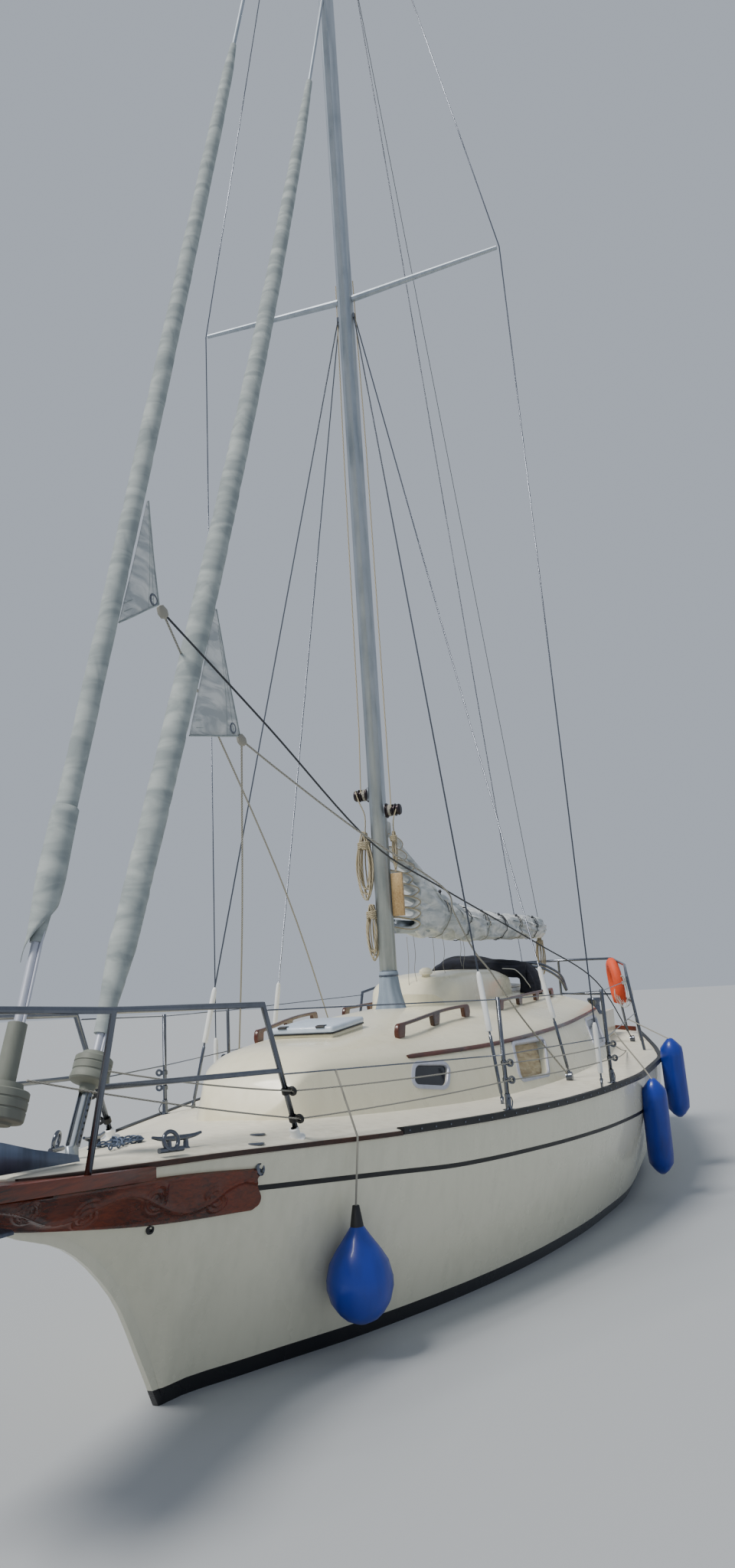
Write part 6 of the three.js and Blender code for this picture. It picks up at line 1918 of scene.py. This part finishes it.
# %% Folds that hang over the bundle
# Each fold runs between two places along the boom and between two angles round the bundle.
FOLDS = (("upper", 560, 3380, -0.02, 0.2), ("lower", 700, 3300, 0.15, 0.40))
for name, start, end, top, low in FOLDS:
    rings = []
    for i in range(181):
        r = start + (end - start) * i / 180
        wave = 0.035 * math.sin(r / 150) + 0.02 * math.sin(r / 57 + 2)
        tight = near_ties(r, 60)
        ends = min(1, (i + 1) / 14, (181 - i) / 14)
        row = []
        for k in range(15):
            share = k / 14
            angle = top + (low - top + wave * (1 - tight)) * share
            out = 2 + (11 * math.sin(math.pi * share * 0.55)) * ends * (1 - 0.8 * tight)
            row.append(stack_point(r, angle, out))
        rings.append(row)
    sheet(f"sail_fold_{name}", rings, SAIL_WHITE, 2.9, "folded", ["boom"], body="boom")
print("folds:", len(FOLDS))

# %% Ties round the bundle
TIE_KNOT = [(0.0, -0.014), (0.011, -0.009), (0.014, 0), (0.011, 0.009), (0, 0.014)]
knots, tails = [], []
for i, r in enumerate(TIES):
    around = [stack_point(r + 16 * math.sin(k / 7), k / 40, 17) for k in range(4, 44)]
    rope(f"sail_tie_{i + 1}", around, 0.007, DARK_ROPE if i % 2 else GREY_ROPE, "boom", far="knot")
    spot = stack_point(r, 0.1, 22)
    knots.append(turned(TIE_KNOT, spot, Vector((0.6, 0.3, 0.7)), 12))
    for way in (-1, 1):
        drop = [stack_point(r + reach * way, turn, out)
                for reach, turn, out in ((14, 0.14, 28), (26, 0.2, 24), (30, 0.26, 20))]
        tails.append(tube(curved([spot, *drop], 5), 0.0032))
show(joined(knots + tails), "sail_tie_knots", DARK_ROPE, "boom")
print("ties:", len(TIES))

# %% [markdown]
# ## Folded sprayhood
#
# The sprayhood is folded down over the hatch: a fat roll of dark canvas that arches over the roof.
# Rows of points across the roll, set along the arch and pushed out where it folds, make it.

# %% Sprayhood
# The arch in millimetres off the middle and over the water, from starboard to port.
CANVAS_LINE = [(-424, 1352), (-426, 1470), (-414, 1560), (-374, 1618), (-310, 1664), (-210, 1702),
               (-60, 1704), (140, 1660), (280, 1636), (410, 1616), (462, 1572), (476, 1470), (472, 1352)]
CANVAS_FORE, CANVAS_AFT = -2165, -2490
CANVAS_STEPS = 144
canvas_knots = list(range(len(CANVAS_LINE)))
canvas_y = monotone(canvas_knots, [y / 1000 for y, _ in CANVAS_LINE])
canvas_z = monotone(canvas_knots, [z / 1000 for _, z in CANVAS_LINE])


def canvas_frame(t):
    """A place on the arch's line, and the way out of it there."""
    step = 0.08
    low, high = max(0, t - step), min(len(CANVAS_LINE) - 1, t + step)
    ahead = Vector((0, canvas_y(high) - canvas_y(low), canvas_z(high) - canvas_z(low))).normalized()
    return Vector((0, canvas_y(t), canvas_z(t))), Vector((0, -ahead.z, ahead.y))


def canvas_profile(share, t):
    """How far fore or aft and how far out a point of the folded cloth is, in metres."""
    middle, half = (CANVAS_FORE + CANVAS_AFT) / 2000, (CANVAS_FORE - CANVAS_AFT) / 2000
    angle = math.pi * (1.16 - 1.32 * share)
    x = middle - half * 0.94 * math.cos(angle)
    lift = 0.058 * math.sin(angle) - 0.055 * max(0.0, 0.16 - share) / 0.16
    rolls = 0.011 * abs(math.sin(3.2 * math.pi * share + 0.5 * math.sin(t * 0.9)))
    sag = noise.noise(Vector((t * 0.55, share * 3.0, 2.0))) * 0.020
    sag += noise.noise(Vector((t * 1.7, share * 6, 7))) * 0.007
    return x, lift + rolls + sag


rings = []
for i in range(CANVAS_STEPS + 1):
    t = (len(CANVAS_LINE) - 1) * i / CANVAS_STEPS
    spot, out = canvas_frame(t)
    row = []
    for k in range(41):
        x, lift = canvas_profile(k / 40, t)
        row.append(Vector((x, spot.y, spot.z)) + out * lift)
    rings.append(row)
sheet("sprayhood_canvas", rings, CANVAS, 1.9, "folded", ["sea_hood", "cabin_trunk"], thick=0.002,
      stands_for=("sprayhood_folded",))
print("canvas rows:", len(rings))

# %% [markdown]
# ## Flaps and bows of the sprayhood
#
# The canvas has a flap on each side with white piping on its hem, and two bent tubes spread it
# that lie back when it is folded. The flaps are single grids that hang from the roll, and each bow
# is a bar along a smooth line through a few places.

# %% Flaps of the sprayhood
FLAP_LOW = [(-1900, 1634), (-2010, 1622), (-2090, 1560), (-2160, 1470), (-2260, 1408), (-2400, 1392)]
FLAP_FORE, FLAP_LONG = -1900, 560
flap_low = follow(FLAP_LOW, 1, 1)
for word, side in SIDES:
    rings = []
    for i in range(49):
        t = i / 48
        x, top = FLAP_FORE - FLAP_LONG * t, 1655 - 12 * t
        row = []
        for k in range(17):
            share = k / 16
            y = 330 + 148 * min(1, t * 2.2) - 26 * (1 - share) + 10 * math.sin(5 * share + 4 * t)
            row.append(mm(x, y * side, top + (flap_low(-x) - top) * share))
        rings.append(row)
    sheet(f"sprayhood_flap_{word}", rings, CANVAS, 0.6, "hung", ["sprayhood_canvas"], thick=0.002)
    edge = [row[-1] + mm(0, 2 * side, 0) for row in rings]
    show(tube(edge, 0.0042), f"flap_piping_{word}", WHITE_ROPE, sharp=80)
print("flap rows:", len(rings))

# %% Bows of the sprayhood
# Each row holds a place aft of the mast, a half breadth and a height, from the foot to the middle.
BOW = [(-2850, 615, 1500), (-2620, 560, 1585), (-2520, 470, 1628), (-2500, 250, 1652), (-2495, 0, 1662)]
bows = []
for lift, reach in ((0, 0), (26, 60)):
    arch = [mm(-2960 - reach * 0.3, 640, 1395), *(mm(x - reach, y, z + lift) for x, y, z in BOW)]
    bows.append(tube(curved([*arch, *reversed(mirror_y(arch[:-1]))], 8), 0.0125, 12))
show(joined(bows), "sprayhood_bows", STEEL)
print("bows:", len(bows))

# %% [markdown]
# ## Fenders and lifebuoy
#
# Fenders are blown vinyl bags, each hung on a rope from a lifeline. The frame's solids have the
# right shape already, so each gets a smooth copy, and a face's height and size say whether it is
# bag, moulded end or rope.

# %% Fenders and lifebuoy
def fender_copy(name, body_finish, top_finish, top_z):
    """A copy of a fender: its rope above the neck, its moulded end, and its body."""
    piece = show(copy_of(name), name + "_skin", body_finish, stands_for=(name,))
    piece.data.materials.append(top_finish)
    piece.data.materials.append(GREY_ROPE)
    for face in piece.data.polygons:
        height = face.center.z
        if height > top_z + 0.035 and face.area < 0.006:
            face.material_index = 2
        elif height > top_z - 0.045:
            face.material_index = 1


# The finish of each fender's moulded end, and the height of that end's middle, in metres.
FENDERS = {"ball_fender": (FENDER_BLACK, 0.62), "fender_port_1": (FENDER_BLUE, 0.80),
           "fender_port_2": (FENDER_BLUE, 0.99)}
for name, (top_finish, top_z) in FENDERS.items():
    fender_copy(name, FENDER_BLUE, top_finish, top_z)
smoothed("lifebuoy", ORANGE, sharp=60)
print("fenders:", len(FENDERS))

# %% [markdown]
# ## Ropes at the mast
#
# Halyards run down both sides of the mast to its winches, and their spare length hangs beside the
# mast in hanks. A hank is one long rope laid in narrow loops, with a few turns round its neck, so
# it is drawn as one line that goes down and up, and that line is given a rope's thickness.

# %% Halyards
HALYARD_THICK = 0.009
for (word, side), low, bend in zip(SIDES, (2812, 2942), (3300, 3400)):
    line = [mm(35, 112 * side, low), mm(12, 104 * side, bend), mm(0, 92 * side, 5600), mm(0, 72 * side, 7000)]
    rope(f"halyard_{word}", line, HALYARD_THICK, CREAM_ROPE)


def hank(name, foot, high, wide, turns, thick, body="yacht", material=CREAM_ROPE):
    """A hank of rope: narrow loops that hang from their top, wrapped round the neck."""
    line = []
    for turn in range(turns):
        spread_out = wide * (0.3 + 0.7 * ((turn * 5) % turns) / turns)
        long = high * (0.78 + 0.22 * ((turn * 3) % turns) / turns)
        for k in range(20):
            angle = 2 * math.pi * (k + 0.5) / 20
            narrow = 1.0 - 0.55 * max(0, math.cos(angle))
            across = math.sin(angle) * spread_out / 2 * narrow + 0.006 * math.cos(turn * 1.7)
            height = high - long / 2 + math.cos(angle) * long / 2
            line.append(foot + Vector(((turn - turns / 2) * thick * 0.95, across, height)))
    rope(name, curved(line, 3), thick, material, body, far="knot", lay="coiled")
    neck, deep, broad = foot + Vector((0, 0, high * 0.76)), thick * (0.5 * turns + 0.6), 0.24 * wide + thick
    wrap = [neck + Vector((deep * math.cos(k / 2.5), broad * math.sin(k / 2.5), thick * 0.073 * k))
            for k in range(72)]
    rope(name + "_neck", wrap, thick, material, body, far="knot", lay="coiled")


hank("halyard_hank_upper", mm(30, -112, 2140), 0.52, 0.14, 9, 0.010)
hank("halyard_hank_lower", mm(48, -78, 1740), 0.40, 0.11, 7, 0.010)
hank("halyard_hank_port", mm(-20, 96, 2350), 0.30, 0.06, 5, 0.008)
TAILS = {"stbd": [mm(40, -150, 2960), mm(38, -128, 2880), mm(12, -100, 2780), mm(-4, -112, 2650)],
         "port": [mm(36, 150, 2800), mm(30, 125, 2740), mm(-20, 100, 2690), mm(-38, 96, 2645)]}
for word, line in TAILS.items():
    rope(f"halyard_tail_{word}", curved(line), HALYARD_THICK, CREAM_ROPE)
board = block(mm(-24, 60, 2050), mm(4, 148, 2352), 0.006)
show(board, "mast_board", wooden("pale board", "c7ab7c", "8a6c44", 0.2))
print("halyards and their tails:", len(SIDES) + len(TAILS))

# %% [markdown]
# ## Lines at the boom
#
# A wire, the topping lift, holds up the end of the boom. The mainsheet hangs there in a hank, and
# the short ends of the reefing lines dangle under the bundle. All of them ride on the boom.

# %% Lines at the boom
BOOM_TIP = boom_point(3440, 0, 2010)
rope("topping_lift", [BOOM_TIP + mm(0, 0, 15), mm(-90, 0, 12000)], 0.006, WIRE, "boom")
hank("mainsheet_hank", boom_point(3400, 0, 1490), 0.44, 0.10, 6, 0.010, "boom")
# Each row holds a distance aft of the pin, a distance to one side and how far the end drops.
REEF_LINES = [(230, -60, 330), (330, 40, 420), (700, -90, 300), (790, 30, 380), (1080, -80, 240),
              (1190, -60, 330)]
for i, (r, side, drop) in enumerate(REEF_LINES):
    top = boom_point(r, side, 1915)
    sway = 12 * math.sin(i * 2.3)
    tail = [top, top + mm(sway, 6, -drop * 0.4), top + mm(-sway * 0.5, -8, -drop * 0.75),
            top + mm(sway * 1.6, 4, -drop)]
    rope(f"reef_line_{i + 1}", curved(tail, 6), 0.004, GREY_ROPE, "boom", far="bare", lay="hanging")
print("reefing lines:", len(REEF_LINES))

# %% [markdown]
# ## Furling lines and the lifebuoy's line
#
# The two lines that turn the drums run aft on the port side, through the blocks on the rails. Each
# is a chain of shallow sags between places that are already known, so it passes through every
# block. The lifebuoy has a hank of thin line of its own.

# %% Sagging lines
def sagging(start, end, sag, steps=16):
    """A line between two points that hangs down by a sag, in metres, at its middle."""
    shares = [i / steps for i in range(steps + 1)]
    return [start.lerp(end, t) - Vector((0, 0, 4 * sag * t * (1 - t))) for t in shares]


# %% Furling lines
furling = (("yankee", OUTER_STAY), ("staysail", INNER_STAY))
for (name, stay), leg_share, height in zip(furling, LEG_SHARES, BLOCK_HEIGHTS):
    drum_radius = max(radius for radius, _ in DRUMS[name]) / 1000
    stops = [along_stay(stay, DRUM_MIDDLE)[0] + Vector((0, drum_radius * 0.99, 0)),
             clamp_eye(PULPIT_LEG[0].lerp(PULPIT_LEG[1], leg_share), LEG_RADIUS)]
    stops += [clamp_eye(stanchion(x, 1, height), STANCHION_RADIUS) for x in STANCHION_X]
    stops.append(on_deck(-2300, 1230, 12))
    line = [stops[0]]
    for a, b in zip(stops, stops[1:]):
        line += sagging(a, b, 0.012, 8)[1:]
    rope("furling_line_" + name, line, 0.007, GREY_ROPE)
    print(name, "furling line:", round(length_of(line), 2), "m")

# %% Lifebuoy's line
hook = BVHTree.FromBMesh(copy_of("lifebuoy")).find_nearest(mm(-3640, 1110, 1480))[0]
hank("lifebuoy_line", hook + mm(25, 0, -330), 0.34, 0.20, 6, 0.006, material=WHITE_ROPE)
print("hung at:", [round(number, 3) for number in hook])

# %% [markdown]
# ## Fittings on the foredeck
#
# A bow cleat, a fairlead for the mooring rope, a chain that runs to the anchor, and the caps of
# the tank fillers. They are small turned or bent shapes, set on the deck where it really is.

# %% Foredeck fittings
def torus(centre, way, wide, thick):
    """A ring of a width round a way, as a tube of a thickness."""
    first = way.orthogonal().normalized()
    second = way.cross(first).normalized()
    angles = [k * math.pi / 12 for k in range(25)]
    circle = [centre + (first * math.cos(angle) + second * math.sin(angle)) * wide / 2 for angle in angles]
    return tube(circle, thick / 2, 10)


UP = Vector((0, 0, 1))
CLEAT_POST = [(0.022, 0), (0.012, 0.012), (0.010, 0.045), (0.012, 0.052)]
HAWSE = [(0.030, 0), (0.029, 0.008), (0.021, 0.014), (0.015, 0.010), (0.013, 0.002), (0, 0.002)]
DRAIN = [(0.020, 0), (0.018, 0.006), (0.010, 0.007), (0.008, 0.001), (0, 0.001)]
CAP = [(0, 0), (0.036, 0), (0.036, 0.004), (0.030, 0.007), (0, 0.007)]
HORN_WIDTHS = [0.006 + 0.006 * math.sin(math.pi * k / 24) for k in range(25)]
fittings = []
for side in (1, -1):
    ends = on_deck(3290, 150 * side, 34), on_deck(2950, 255 * side, 34)
    run, middle = (ends[1] - ends[0]).normalized(), (ends[0] + ends[1]) / 2
    fittings += [turned(CLEAT_POST, middle + run * reach - UP * 0.040, UP, 14) for reach in (-0.045, 0.045)]
    horns = [middle + run * (reach * 0.13) + UP * (0.007 + 0.012 * abs(reach) ** 3)
             for reach in (-1.0, -0.7, -0.35, 0, 0.35, 0.7, 1.0)]
    fittings.append(tube(curved(horns, 4), HORN_WIDTHS, 10))
    bar = [Vector((x, (sheer(x)[0] - 0.02) * side, sheer(x)[1] + 0.028)) for x in (3.34, 3.28, 3.22)]
    ring_way = Vector((0.35, side, 0.25)).normalized()
    fittings += [tube(bar, 0.011, 10), torus(bar[1] + UP * 0.034, ring_way, 0.070, 0.017)]
    out = Vector((0.1, side, 0.15)).normalized()
    fittings.append(turned(HAWSE, beside(hull_surface, 2835, 890, side), out, 28))
drain = turned(DRAIN, beside(hull_surface, 3266, 741), Vector((0.3, 1, -0.1)).normalized(), 24)
show(drain, "bow_drain", BLACK_PLASTIC)
show(joined(fittings), "deck_cleats", STEEL)
caps = [turned(CAP, on_deck(x, y, 1), UP, 24) for x, y in ((2637, 316), (2831, 410))]
show(joined(caps), "deck_fillers", STEEL)
print("cleats, fairleads and caps:", len(fittings) + len(caps))

# %% Anchor chain
# A station, a distance off the middle and a lift over the deck, in millimetres, for each bend.
CHAIN = [(3139, -166, 14), (3080, -120, 12), (3020, -60, 14), (2960, -80, 12), (2930, -150, 13),
         (2990, -190, 14), (3060, -150, 26), (3120, -60, 14), (3320, 0, 16)]
chain_run = curved([on_deck(*place) for place in CHAIN], 5)
links = []
for i, (spot, ahead) in enumerate(zip(chain_run, chain_run[1:])):
    way = (ahead - spot).normalized()
    cross = UP if i % 2 else way.cross(UP).normalized()
    oval = [spot + way * (0.019 * math.cos(k * math.pi / 6)) + cross * (0.011 * math.sin(k * math.pi / 6))
            for k in range(13)]
    links.append(tube(oval, 0.0038, 6))
show(joined(links), "anchor_chain", GALVANISED)
print("chain links:", len(links))

# %% [markdown]
# ## Last checks
#
# Every solid of the frame should now have a piece that stands for it, so the list of those that
# still show is empty. The outer boxes of the frame and of the finished model are written down too,
# because dressing a part must not change its size.

# %% Solids that still show
shown = [name for name, piece in frame["nodes"].items() if not piece.hide_render]
print("CAD solids shown as they are:", shown)

visual_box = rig.bounds()
with open("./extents.json", "w") as size_file:
    json.dump({"cad": [list(corner) for corner in cad_box],
               "visual": [list(corner) for corner in visual_box]}, size_file)
print("boxes:", cad_box, visual_box)
